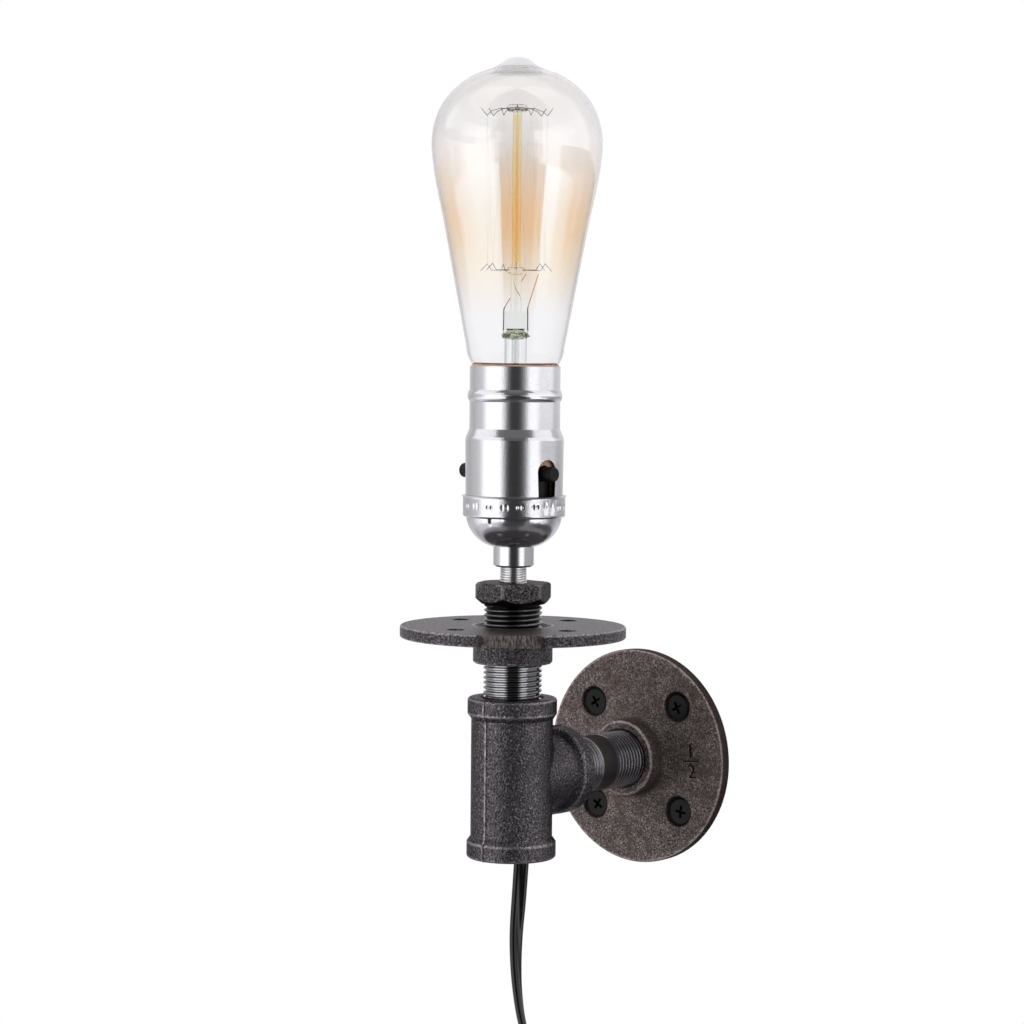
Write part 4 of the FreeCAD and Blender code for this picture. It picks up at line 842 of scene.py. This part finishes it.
def makeCap():
    size = capShape
    w, top, edge, collar, lip = [size[part] for part in ("wall", "top", "edge", "collar", "lip")]
    (midR, midZ), (domeR, domeZ), (inwards, upwards) = size["mid"], size["dome"], size["innerMid"]
    (outerSteps, innerSteps), (rimR, rimZ) = size["arcs"], size["rim"]
    rows = [(collar, domeZ + edge + (top - 2 * edge - domeZ) * k / size["rows"]) for k in range(size["rows"] + 1)]
    outer = arcPoints((size["footR"], 0), (midR, midZ), (domeR, domeZ), outerSteps)
    inner = arcPoints((size["footR"], w), (midR - w * inwards, midZ + w * upwards), (domeR - w, domeZ), innerSteps)
    outline = [(size["spigot"], 0)] + outer + [(collar - r, domeZ + z) for r, z in size["shoulder"]] + rows
    outline += [(lip, top - rimZ), (lip - rimR, top), (lip - w, top), (collar - w, top - edge),
                (collar - w, domeZ + w), (domeR - w, domeZ + w)] + inner[::-1] + [(size["spigot"], w)]
    cap = turned("socketCap", outline, steps=size["steps"])
    marks = capMarks(size)
    upReach, asideReach = size["reach"]
    for vertex in cap.data.vertices:
        x, y, z = (c * 1000 for c in vertex.co)
        r = math.hypot(x, y)
        if r < size["outside"]:
            continue
        angle = math.degrees(math.atan2(y, x))
        push = 0.0
        for degrees, up, wide, tall, deep, apart in marks:
            across = abs(((angle - degrees + 180) % 360 - 180) * math.pi / 180 * r)
            if abs(z - up) <= upReach and across <= asideReach:
                push += deep * math.exp(-((across - apart) / (wide * size["soft"])) ** 2 - ((z - up) / tall) ** 2)
        if push > size["least"]:
            squeeze(vertex, (r - push) / r)
    smooth(cap, 60)
    settle(cap, (*lampLine, size["foot"] / 1000))
    dress(cap, "socketCap", "fixture", "capMetal", ["socket_cap"])


# the sleeve's edge, a little proud of the shell

sleeveEdge = {"inner": 15.74, "outer": 16.08, "foot": 150.9, "shoulder": 151.8, "top": 151.92, "round": 0.1}


def makeSleeveEdge():
    inner, outer, foot, shoulder, top, edge = sleeveEdge.values()
    ring = turned("sleeveEdge", [(inner, foot), (outer, foot), (outer, shoulder), (outer - edge, top), (inner, top)])
    settle(ring, lampFoot)
    smooth(ring)
    dress(ring, "sleeveEdge", "fixture", "tanFibre")


# cord

cordShape = {
    "core": 1.42, "apart": 1.36, "arc": 125, "steps": 12,
    "drop": [(3.1, -78.0, -29.7), (2.4, -78.5, -45.0), (1.5, -79.2, -60.0), (1.9, -79.2, -76.0),
             (4.2, -78.7, -92.0), (10.3, -78.2, -105.7), (20.6, -78.2, -116.0)],
    "dropTilt": [88, 74, 46, 16, -3, -3, -3],
    "radius": 38.0, "step": 6.5, "layers": 4, "turns": 8.125, "enter": 45.0, "parts": 4,
    # from the coil down to the plug: a first drop, the tail, and a last bend aside
    "leave": 5.6, "tail": 20.0, "bend": (1.2, 0.6, -18.0),
    "long": 1.783, "wide": 0.0056,  # metres
}


def coilPoints():
    # the loops run in and out again and climb where they reverse, each quarter turn as a few points
    look = cordShape
    start, step, layers, parts = look["drop"][-1], look["step"], look["layers"], look["parts"]
    turns = (look["turns"] - 0.5 * (layers - 1)) / layers
    quarters = round(turns * 4)
    radius, depth, angle = look["radius"], 0.0, look["enter"]
    found = [(radius, depth, angle)]

    def travel(outwards, climb, degrees):
        nonlocal radius, depth, angle
        for part in range(parts):
            radius += outwards / parts
            depth += climb / parts
            angle -= degrees / parts
            found.append((radius, depth, angle))

    for layer in range(layers):
        way = -1 if layer % 2 == 0 else 1
        for quarter in range(quarters):
            travel(way * step * turns / quarters, 0.0, 360.0 * turns / quarters)
        if layer < layers - 1:
            for back in (1, -1):
                travel(way * back * step / 4, step / 2, 90.0)
    first = math.radians(look["enter"])
    middle = (start[0] - look["radius"] * math.cos(first), start[2] - look["radius"] * math.sin(first))
    spots = []
    for radius, depth, angle in found:
        a = math.radians(angle)
        spots.append((middle[0] + radius * math.cos(a), start[1] + depth, middle[1] + radius * math.sin(a)))
    return spots


def cordOutline():
    # two cores side by side
    core, apart, arc, steps = [cordShape[part] for part in ("core", "apart", "arc", "steps")]
    spots = []
    for side in (1, -1):
        for k in range(steps + 1):
            a = math.radians(arc * (2 * k / steps - 1))
            spots.append(metres((side * (apart + core * math.cos(a)), side * core * math.sin(a), 0)))
    outline = newCurve("cordOutline", [spots], "POLY")
    outline.data.dimensions = "2D"
    outline.data.splines[0].use_cyclic_u = True
    return outline


def makeCord():
    look = cordShape
    coil = coilPoints()
    x, y, z = coil[-1]
    down = (x, y, z - look["leave"])
    tail = (x, y, down[2] - look["tail"])
    tip = tuple(a + b for a, b in zip(tail, look["bend"]))
    points = look["drop"] + coil[1:] + [down, tail, tip]
    tilts = look["dropTilt"] + [look["dropTilt"][-1]] * (len(points) - len(look["dropTilt"]))
    piece = newCurve("cord", [[metres(point) for point in points]])
    curve = piece.data
    curve.resolution_u = 6
    for spot, tilt in zip(curve.splines[0].points, tilts):
        spot.tilt = math.radians(tilt)
    bpy.context.view_layer.update()
    bare = bpy.data.meshes.new_from_object(piece)
    bpy.data.meshes.remove(bare)
    outline = cordOutline()
    curve.bevel_mode = "OBJECT"
    curve.bevel_object = outline
    curve.use_fill_caps = True
    piece = toMesh(piece)
    bpy.data.objects.remove(outline)
    cleanMesh(piece)
    smooth(piece, 50)
    dress(piece, "cord", "fixture", "cordVinyl", ["cord_drop", "cord_coil", "cord_tail"])


# cast iron; where a look starts and ends is in millimetres too

castLook = {
    "gloss": 0.5, "sheen": 0.45, "bite": 0.0005, "lumps": 0.6,  # bite: the bump's depth in metres
    "grains": 0.75, "specks": (0.36, 0.66), "glints": (0.6, 0.7), "wear": 2.2, "bumps": 2.6, "ragged": (1.3, 1.6),
    # noise, as grain, low and high value, least and most, detail and roughness
    "cloud": (9.0, 0.35, 0.7, 0.0, 0.25), "stainAndShade": (5.0, 0.42, 0.7, 0.0, 0.75, 4.0),
    "chafe": (0.5, 0.35, 0.6, 0.25, 1.0, 2.0, 0.6), "broken": (3.0, 0.4, 0.62, 0.12, 0.9),
    "warm": None, "axis": "Z", "centre": lampFoot,
    # circles where the edge is painted lighter, partly worn skin and partly painted highlight, (radius, height, reach),
    # round the axis and round the branch's axis
    "edges": (), "mouth": (),
    "pits": (), "rim": None, "seam": None, "gate": None, "under": None,
}
castings = {
    "wallCast": {"dark": (0.04, 0.033, 0.03), "light": (0.325, 0.272, 0.254), "warm": (0.09, 0.066, 0.055),
                 "gloss": 0.42, "axis": "Y", "centre": (0, 0, 0), "edges": [(41.1, -4.2, 0.7), (14.2, -13.7, 0.7)],
                 "pits": [(*ringSpot(woodScrew, k), 6.15) for k in range(4)],
                 "rim": (41.35, (0.022, 0.013, 0.01)), "bite": 0.0006, "grains": 0.52, "lumps": 0.15, "wear": 1.9},
    "markPaintedHighlight": {"dark": (0.08, 0.067, 0.062), "light": (0.4, 0.335, 0.312), "gloss": 0.36, "bite": 0.0002,
                 "specks": (0.3, 0.7)},
    "markPaintedShade": {"dark": (0.006, 0.005, 0.005), "light": (0.03, 0.025, 0.023), "bite": 0.0001,
                 "specks": (0.3, 0.7)},
    "shelfCast": {"dark": (0.021, 0.018, 0.019), "light": (0.142, 0.13, 0.138), "gloss": 0.38, "sheen": 1.0,
                  "edges": [(41.3, 51.9, 0.6), (41.5, 56.25, 0.75), (14.4, 42.6, 0.6), (14.6, 56.0, 0.6)],
                  "gate": (-52.0, 40.17, 10.8), "wear": 4.0},
    "teeCast": {"dark": (0.022, 0.0195, 0.021), "light": (0.15, 0.137, 0.145), "gloss": 0.28, "bite": 0.0004,
                "edges": [(16.2, 29.3, 0.9), (16.2, 23.8, 0.7), (16.2, -29.3, 0.9), (16.2, -23.8, 0.7)],
                "mouth": [(16.2, -50.9, 0.9), (16.2, -56.8, 0.7)], "seam": 0.6, "specks": (0.3, 0.72), "wear": 2.8},
    "bushingCast": {"dark": (0.022, 0.02, 0.02), "light": (0.15, 0.137, 0.137), "gloss": 0.34,
                    "edges": [(13.6, 71.7, 0.7)], "rim": (13.95, (0.2, 0.19, 0.19)), "under": (11.65, 64.25, 0.865)},
}
gateLook = {"scratches": ((0.06, 0.05, 0.043), (0.27, 0.23, 0.2)), "marks": (0.55, 0.38, 0.64, 0.0, 1.0, 2.0),
            "drawn": (1, 1, 0.22), "ragged": (4.0, 5.0), "chip": (0.02, 0.016, 0.014)}
# painted light and shade on the castings: a highlight on the seam, shade in the screw holes and under the hex head
paintedLightAndShade = {"seam": (0.42, 0.39, 0.40), "pit": (0.003, 0.003, 0.003), "under": (0.012, 0.01, 0.01)}


def groundGate(place, split, colour, gate):
    # where the gate was ground off: upright scratches, with a dark chip at each end
    degrees, apart, half = gate
    x, y = split.outputs["X"], split.outputs["Y"]
    a = math.radians(degrees)
    ahead = plus(times(x, math.cos(a)), times(y, math.sin(a)))
    aside = plus(times(x, -math.sin(a)), times(y, math.cos(a)))
    aside = plus(calc("ABSOLUTE", aside), swing(place, *gateLook["ragged"]))
    scratch = patches(stretched(place, gateLook["drawn"]), *gateLook["marks"])
    scraped = mixColour(scratch, *gateLook["scratches"])
    colour = mixColour(remap(ahead, apart - 0.4, apart - 0.15, 0.0, 0.85), colour, scraped)
    chip = times(remap(aside, half - 1.4, half - 0.6), remap(aside, half + 1.6, half + 0.6))
    chip = times(chip, remap(ahead, apart - 1.6, apart - 0.9))
    return mixColour(times(chip, 0.75), colour, gateLook["chip"])


def casting(name, **changes):
    # speckled grey iron with worn edges painted lighter, partly as painted highlight
    look = {**castLook, **changes}
    dark, light, sheen = look["dark"], look["light"], look["sheen"]
    newMaterial(name, Metallic=0.9, Specular_IOR_Level=0.5, Specular_Tint=(sheen, sheen, sheen, 1))
    place = objectPlace()
    grain = noise(place, look["grains"], 2.0, 0.6)
    colour = mixColour(remap(grain, *look["specks"]), dark, light)
    colour = mixColour(times(remap(grain, *look["glints"]), 0.6), colour, scaled(light, 2.0))
    colour = mixColour(patches(place, *look["cloud"]), colour, dark)
    if look["warm"]:
        colour = mixColour(patches(place, *look["stainAndShade"]), colour, look["warm"])
    radius, height, split = roundAxis(place, look["axis"], look["centre"])
    ragged = swing(place, *look["ragged"])
    circles = [(radius, height, *circle) for circle in look["edges"]]
    if look["mouth"]:
        outwards, along = roundAxis(place, "Y", (0, 0, 0))[:2]
        circles += [(outwards, along, *circle) for circle in look["mouth"]]
    # edges painted lighter: partly the worn skin, partly a painted highlight where the edges catch the light
    worn = None
    for outwards, along, circleR, circleH, reach in circles:
        a = calc("SUBTRACT", plus(outwards, ragged), circleR)
        b = calc("SUBTRACT", plus(along, ragged), circleH)
        near = remap(away(a, b), reach, reach * 0.35)
        worn = near if worn is None else calc("MAXIMUM", worn, near)
    if circles:
        worn = times(worn, patches(place, *look["chafe"]))
        colour = mixColour(times(worn, 0.8), colour, scaled(light, look["wear"], 0.02))
    # a ring of colour past a radius: on the hex bushing a light line on the corners, partly wear and partly painted
    # highlight; on the wall flange a darker outer edge
    if look["rim"]:
        rimR, rimColour = look["rim"]
        colour = mixColour(remap(radius, rimR - 0.15, rimR + 0.1, 0.0, 0.85), colour, rimColour)
    if look["gate"]:
        colour = groundGate(place, split, colour, look["gate"])
    if look["under"]:
        # the cone below the head lies in its own shade
        coneR, coneZ, slope = look["under"]
        above = calc("SUBTRACT", height, times(calc("SUBTRACT", radius, coneR), slope))
        above = plus(above, times(ragged, 0.5))
        colour = mixColour(remap(above, coneZ + 0.55, coneZ + 0.2, 0.0, 0.9), colour, paintedLightAndShade["under"])
    if look["seam"]:
        # the mould's parting line, a painted highlight: a light ragged thread down the front
        aside = calc("ABSOLUTE", plus(split.outputs["X"], times(ragged, 0.3)))
        front = remap(split.outputs["Y"], -9.5, -10.5)
        line = times(remap(aside, look["seam"], look["seam"] * 0.35), front)
        colour = mixColour(times(line, patches(place, *look["broken"])), colour, paintedLightAndShade["seam"])
    # painted shade in the wall flange's countersunk screw holes
    for across, up, reach in look["pits"]:
        a = calc("SUBTRACT", split.outputs["X"], across)
        b = calc("SUBTRACT", split.outputs["Z"], up)
        colour = mixColour(remap(away(a, b), reach, reach - 0.5, 0.0, 0.85), colour, paintedLightAndShade["pit"])
    gloss = look["gloss"]
    feed(Base_Color=colour, Roughness=remap(grain, 0.3, 0.75, gloss + 0.1, gloss - 0.08))
    bumped(plus(grain, times(noise(place, look["bumps"], 2.0), look["lumps"])), look["bite"])


# other metals: colour, roughness, bump in metres, grain, and for threads the colour of the painted shade in the groove
# and the radii of the groove

metals = {
    "shinyThread": ((0.3, 0.3, 0.31), 0.11, 0.00002, 0.8),
    "darkThread": ((0.2, 0.19, 0.185), 0.3, 0.00003, 0.6, (0.008, 0.008, 0.009), (9.7, 10.75)),
    "zinc": ((0.82, 0.83, 0.82), 0.2, 0.00001, 0.8, (0.46, 0.46, 0.46), (4.6, 5.0)),
    "neckMetal": ((0.64, 0.64, 0.65), 0.12, 0.00001, 0.7),
    "shellMetal": ((0.64, 0.64, 0.65), 0.14, 0.00003, 0.5),
    "capMetal": ((0.62, 0.62, 0.635), 0.15, 0.00003, 0.7),
    "baseMetal": ((0.74, 0.73, 0.71), 0.22, 0.00002, 1.0),
    "brassMetal": ((0.8, 0.56, 0.24), 0.24, 0.00002, 0.8),
    "springMetal": ((0.55, 0.55, 0.55), 0.25, 0.00001, 0.5),
    "rodMetal": ((0.6, 0.58, 0.55), 0.28, 0.00002, 0.6),
    "bladeMetal": ((0.78, 0.66, 0.42), 0.24, 0.00001, 0.8),
    "wireMetal": ((0.16, 0.15, 0.15), 0.3, 0.00001, 0.4),
    "filamentMetal": ((0.5, 0.45, 0.38), 0.35, 0.00001, 0.3),
    "solder": ((0.6, 0.6, 0.6), 0.35, 0.00006, 1.6),
}
drawnOut = {"bladeMetal": (1, 1, 0.2)}  # grain that is longer one way


def bareMetal(name, colour, rough, bite, size, dark=None, grooveShade=None):
    newMaterial(name, Metallic=1.0)
    cloud = noise(stretched(objectPlace(), drawnOut.get(name, (1, 1, 1))), size)
    tint = mixColour(remap(cloud, 0.35, 0.7, 0.0, 0.5), colour, scaled(colour, 0.82))
    # painted shade down in the thread's groove
    if grooveShade:
        root, crest = grooveShade
        radius = roundAxis(objectPlace())[0]
        deep = remap(radius, root + (crest - root) * 0.25, crest - 0.1, 1.0, 0.0)
        tint = mixColour(deep, tint, dark)
    feed(Base_Color=tint, Roughness=remap(cloud, 0.3, 0.75, rough * 0.8, rough * 1.25))
    bumped(cloud, bite)


# moulded or rubbery stuff with a fine skin: colour, roughness, grain, bump in metres, coat and gloss

mouldings = {
    "blackScrew": ((0.004, 0.004, 0.004), 0.3, 0.5, 0.00003, 0.0, 0.12),
    "knobPlastic": ((0.005, 0.005, 0.0055), 0.34, 0.5, 0.00004, 0.0, 0.16),
    "phenolic": ((0.006, 0.005, 0.005), 0.4, 0.6, 0.00002, 0.0, 0.15),
    "fibreBoard": ((0.10, 0.075, 0.055), 0.7, 0.7, 0.00006, 0.0, 0.5),
    "blackGlass": ((0.01, 0.01, 0.012), 0.08, 1.5, 0.00001, 0.4, 0.5),
    "cordVinyl": ((0.0035, 0.0035, 0.004), 0.2, 1.2, 0.00001, 0.0, 0.36),
    "plugVinyl": ((0.004, 0.004, 0.0045), 0.34, 0.9, 0.00004, 0.0, 0.5),
    "tieRubber": ((0.014, 0.014, 0.015), 0.55, 0.5, 0.00005, 0.0, 0.5),
}


def moulding(name, colour, rough, size, bite, coat, gloss):
    newMaterial(name, Coat_Weight=coat, Coat_Roughness=0.15, Specular_IOR_Level=gloss)
    place = objectPlace()
    cloud = noise(place, size)
    wide = noise(place, size * 12, 2.0)
    tint = mixColour(remap(wide, 0.3, 0.7), colour, scaled(colour, 1.3, 0.001))
    feed(Base_Color=tint, Roughness=remap(cloud, 0.3, 0.7, rough * 0.85, rough * 1.15))
    bumped(cloud, bite)


# finishes that change along a piece; pairs of large numbers are heights, from and to

armLook = {
    "bright": (0.25, 0.245, 0.26), "grooveShade": (0.04, 0.038, 0.042), "skin": (0.03, 0.027, 0.026),
    "ragged": (1.5, 1.2), "fade": (0.8, 0.4), "deep": (0.9, 0.12),
    "shine": 0.26, "satin": (0.28, 0.36), "metal": 0.55, "grain": 0.8, "bite": 0.00004,
}


def armThreadMetal():
    # bright cut threads at both ends with painted shade in their grooves, black satin skin between them
    look = armLook
    newMaterial("armThread", Metallic=1.0)
    place = objectPlace()
    radius, along = roundAxis(place, "Y", (0, 0, 0))[:2]
    low, high = threads["armThread"]["plain"][0]
    crest = threads["armThread"]["crest"]
    (before, after), (root, top) = look["fade"], look["deep"]
    along = plus(along, swing(place, *look["ragged"]))
    middle = calc("MINIMUM", remap(along, -high - before, -high + after), remap(along, -low + before, -low - after))
    # painted shade in the grooves, darker towards the root
    bright = mixColour(remap(radius, crest - root, crest - top, 1.0, 0.0), look["bright"], look["grooveShade"])
    cloud = noise(place, look["grain"])
    feed(Base_Color=mixColour(middle, bright, look["skin"]), Metallic=mixValue(middle, 1.0, look["metal"]),
         Roughness=mixValue(middle, look["shine"], remap(cloud, 0.3, 0.7, *look["satin"])))
    bumped(cloud, look["bite"])


sleeveLook = {
    "pale": (0.72, 0.47, 0.33), "brown": (0.5, 0.29, 0.17), "shades": (6.0, 0.35, 0.65), "stainAndShade": (0.045, 0.026, 0.016),
    "top": (114.5, 112.0), "foot": (98.0, 103.0), "grain": 0.7, "rough": (0.5, 0.68), "bite": 0.00006,
}


def sleeveFibre():
    # pale fibre paper, with painted shade where it lies in the foot of the slots
    look = sleeveLook
    newMaterial("tanFibre")
    place = objectPlace()
    height = roundAxis(place)[1]
    cloud = noise(place, look["grain"])
    paper = mixColour(patches(place, *look["shades"]), look["pale"], look["brown"])
    # painted shade: darker between these heights, where the foot of the slots lies in shadow
    slotShade = times(remap(height, *look["top"]), remap(height, *look["foot"]))
    feed(Base_Color=mixColour(slotShade, paper, look["stainAndShade"]), Roughness=remap(cloud, 0.3, 0.7, *look["rough"]))
    bumped(cloud, look["bite"])


filmLook = {
    "clear": (0.942, 0.942, 0.95), "smoke": (0.93, 0.914, 0.909), "amber": (0.928, 0.81, 0.655),
    "glance": (0.35, 1.05, 1.6),  # what the amber film reflects
    "rising": (170, 200), "fading": (234, 208), "smoky": (196, 226), "domed": (246, 224),
    "streaks": (22, 0.3, 0.7, 0.8, 1.0, 2.0), "drawn": (1, 1, 0.35),
    "bends": (1.42, 1.22, 1.78),  # how much the glass bends light: dome, neck, middle
    # the frosted seal at the tip: colour, where it starts, how rough and how clear it is
    "frost": (0.98, 0.975, 0.98), "frosted": (258.6, 260.6), "dull": 0.4, "left": 0.1,
}
plainGlass = {"Roughness": 0.0, "IOR": 1.5, "Transmission_Weight": 1.0}


def bulbFilm():
    # clear glass with a smoky crown and an amber film that is strongest half way up
    look = filmLook
    newMaterial("bulbFilm", **plainGlass)
    place = objectPlace()
    height = roundAxis(place)[1]
    rising = remap(height, *look["rising"])
    amber = times(rising, remap(height, *look["fading"]))
    amber = times(amber, patches(stretched(place, look["drawn"]), *look["streaks"]))
    colour = mixColour(remap(height, *look["smoky"]), look["clear"], look["smoke"])
    colour = mixColour(amber, colour, look["amber"])
    frost = remap(height, *look["frosted"])
    dome, neck, middle = look["bends"]
    feed(Base_Color=mixColour(frost, colour, look["frost"]), Roughness=remap(frost, 0, 1, 0.0, look["dull"]),
         IOR=mixValue(remap(height, *look["domed"]), dome, mixValue(rising, neck, middle)),
         Transmission_Weight=remap(frost, 0, 1, 1.0, look["left"]),
         Specular_Tint=mixColour(amber, (1, 1, 1), look["glance"]))


leadLook = {"gold": (0.75, 0.5, 0.2), "dark": (0.05, 0.05, 0.045), "red": (0.22, 0.07, 0.06),
            "knee": (173.4, 174.2), "ragged": (1.2, 1.5), "shades": (1.6, 0.45, 0.55)}


def leadMetal():
    # gold coloured above the knee, dark below it
    look = leadLook
    newMaterial("leadMetal", Metallic=1.0, Roughness=0.3)
    place = objectPlace()
    grain, reach = look["ragged"]
    height = plus(roundAxis(place)[1], times(noise(place, grain), reach))
    low = mixColour(patches(place, *look["shades"]), look["dark"], look["red"])
    feed(Base_Color=mixColour(remap(height, *look["knee"]), low, look["gold"]))


def clearGlass(name, colour):
    newMaterial(name, **plainGlass)
    feed(Base_Color=mixColour(noise(objectPlace(), 6), colour, scaled(colour, 0.96)))


postLook = {"button": (0.95, 0.93, 0.88), "rod": (0.95, 0.8, 0.48), "foot": (187.5, 190.0), "top": (243.5, 242.5)}


def postGlass():
    # amber rod with nearly clear buttons at both ends
    look = postLook
    newMaterial("postGlass", **plainGlass)
    height = roundAxis(objectPlace())[1]
    rod = times(remap(height, *look["foot"]), remap(height, *look["top"]))
    feed(Base_Color=mixColour(rod, look["button"], look["rod"]))


def makeFinishes():
    for name, look in castings.items():
        casting(name, **look)
    for name, look in metals.items():
        bareMetal(name, *look)
    for name, look in mouldings.items():
        moulding(name, *look)
    armThreadMetal()
    sleeveFibre()
    bulbFilm()
    leadMetal()
    postGlass()
    clearGlass("stemGlass", (0.97, 0.985, 0.975))
    clearGlass("pressGlass", (0.84, 0.88, 0.66))


nodeFinishes = {
    "wallCast": ["wall_flange"],
    "teeCast": ["tee"],
    "shelfCast": ["shelf_flange"],
    "bushingCast": ["hex_bushing"],
    "shinyThread": ["riser_nipple"],
    "armThread": ["arm_nipple"],
    "zinc": ["lamp_nipple", "set_screw"],
    "neckMetal": ["neck_bushing"],
    "blackScrew": ["wall_screws"],
    "capMetal": ["socket_cap"],
    "shellMetal": ["socket_shell"],
    "tanFibre": ["insulating_sleeve"],
    "fibreBoard": ["cap_liner"],
    "phenolic": ["switch_base", "switch_top"],
    "brassMetal": ["body_rivets", "bridge_contact", "terminal_straps", "terminal_screws", "center_contact",
                   "screw_shell"],
    "rodMetal": ["push_rod"],
    "knobPlastic": ["push_knobs"],
    "springMetal": ["detent_spring"],
    "bulbFilm": ["bulb_glass"],
    "stemGlass": ["bulb_stem"],
    "postGlass": ["stem_post"],
    "wireMetal": ["upper_supports", "lower_supports"],
    "filamentMetal": ["filament"],
    "leadMetal": ["bulb_leads"],
    "baseMetal": ["base_shell"],
    "blackGlass": ["base_insulator"],
    "solder": ["base_contact"],
    "cordVinyl": ["cord_inner", "lead_wires", "cord_drop", "cord_coil", "cord_tail"],
    "tieRubber": ["cord_tie"],
    "plugVinyl": ["plug_body"],
    "bladeMetal": ["plug_blades"],
}


def dressNodes():
    for finish, names in nodeFinishes.items():
        for name in names:
            nodes[name].data.materials.clear()
            nodes[name].data.materials.append(finishes[finish])


makeCamera()
makeWorld()
makeFloor()
print("camera, lights and floor made")
makeFinishes()
dressNodes()
print("finishes made")
makeCord()
print("cord made")
for name in ("riserThread", "armThread", "lampRod"):
    makeThread(name)
makeBushing()
makeThread("bushingThread")
print("threads and bushing made")
makeWallScrews()
makeSizeMark()
makeBaseThread()
print("screws, mark and base thread made")
makeBulbGlass()
makePressSeal()
makeBulbWires()
makeCap()
makeSleeveEdge()
print("bulb, cap and sleeve edge made")
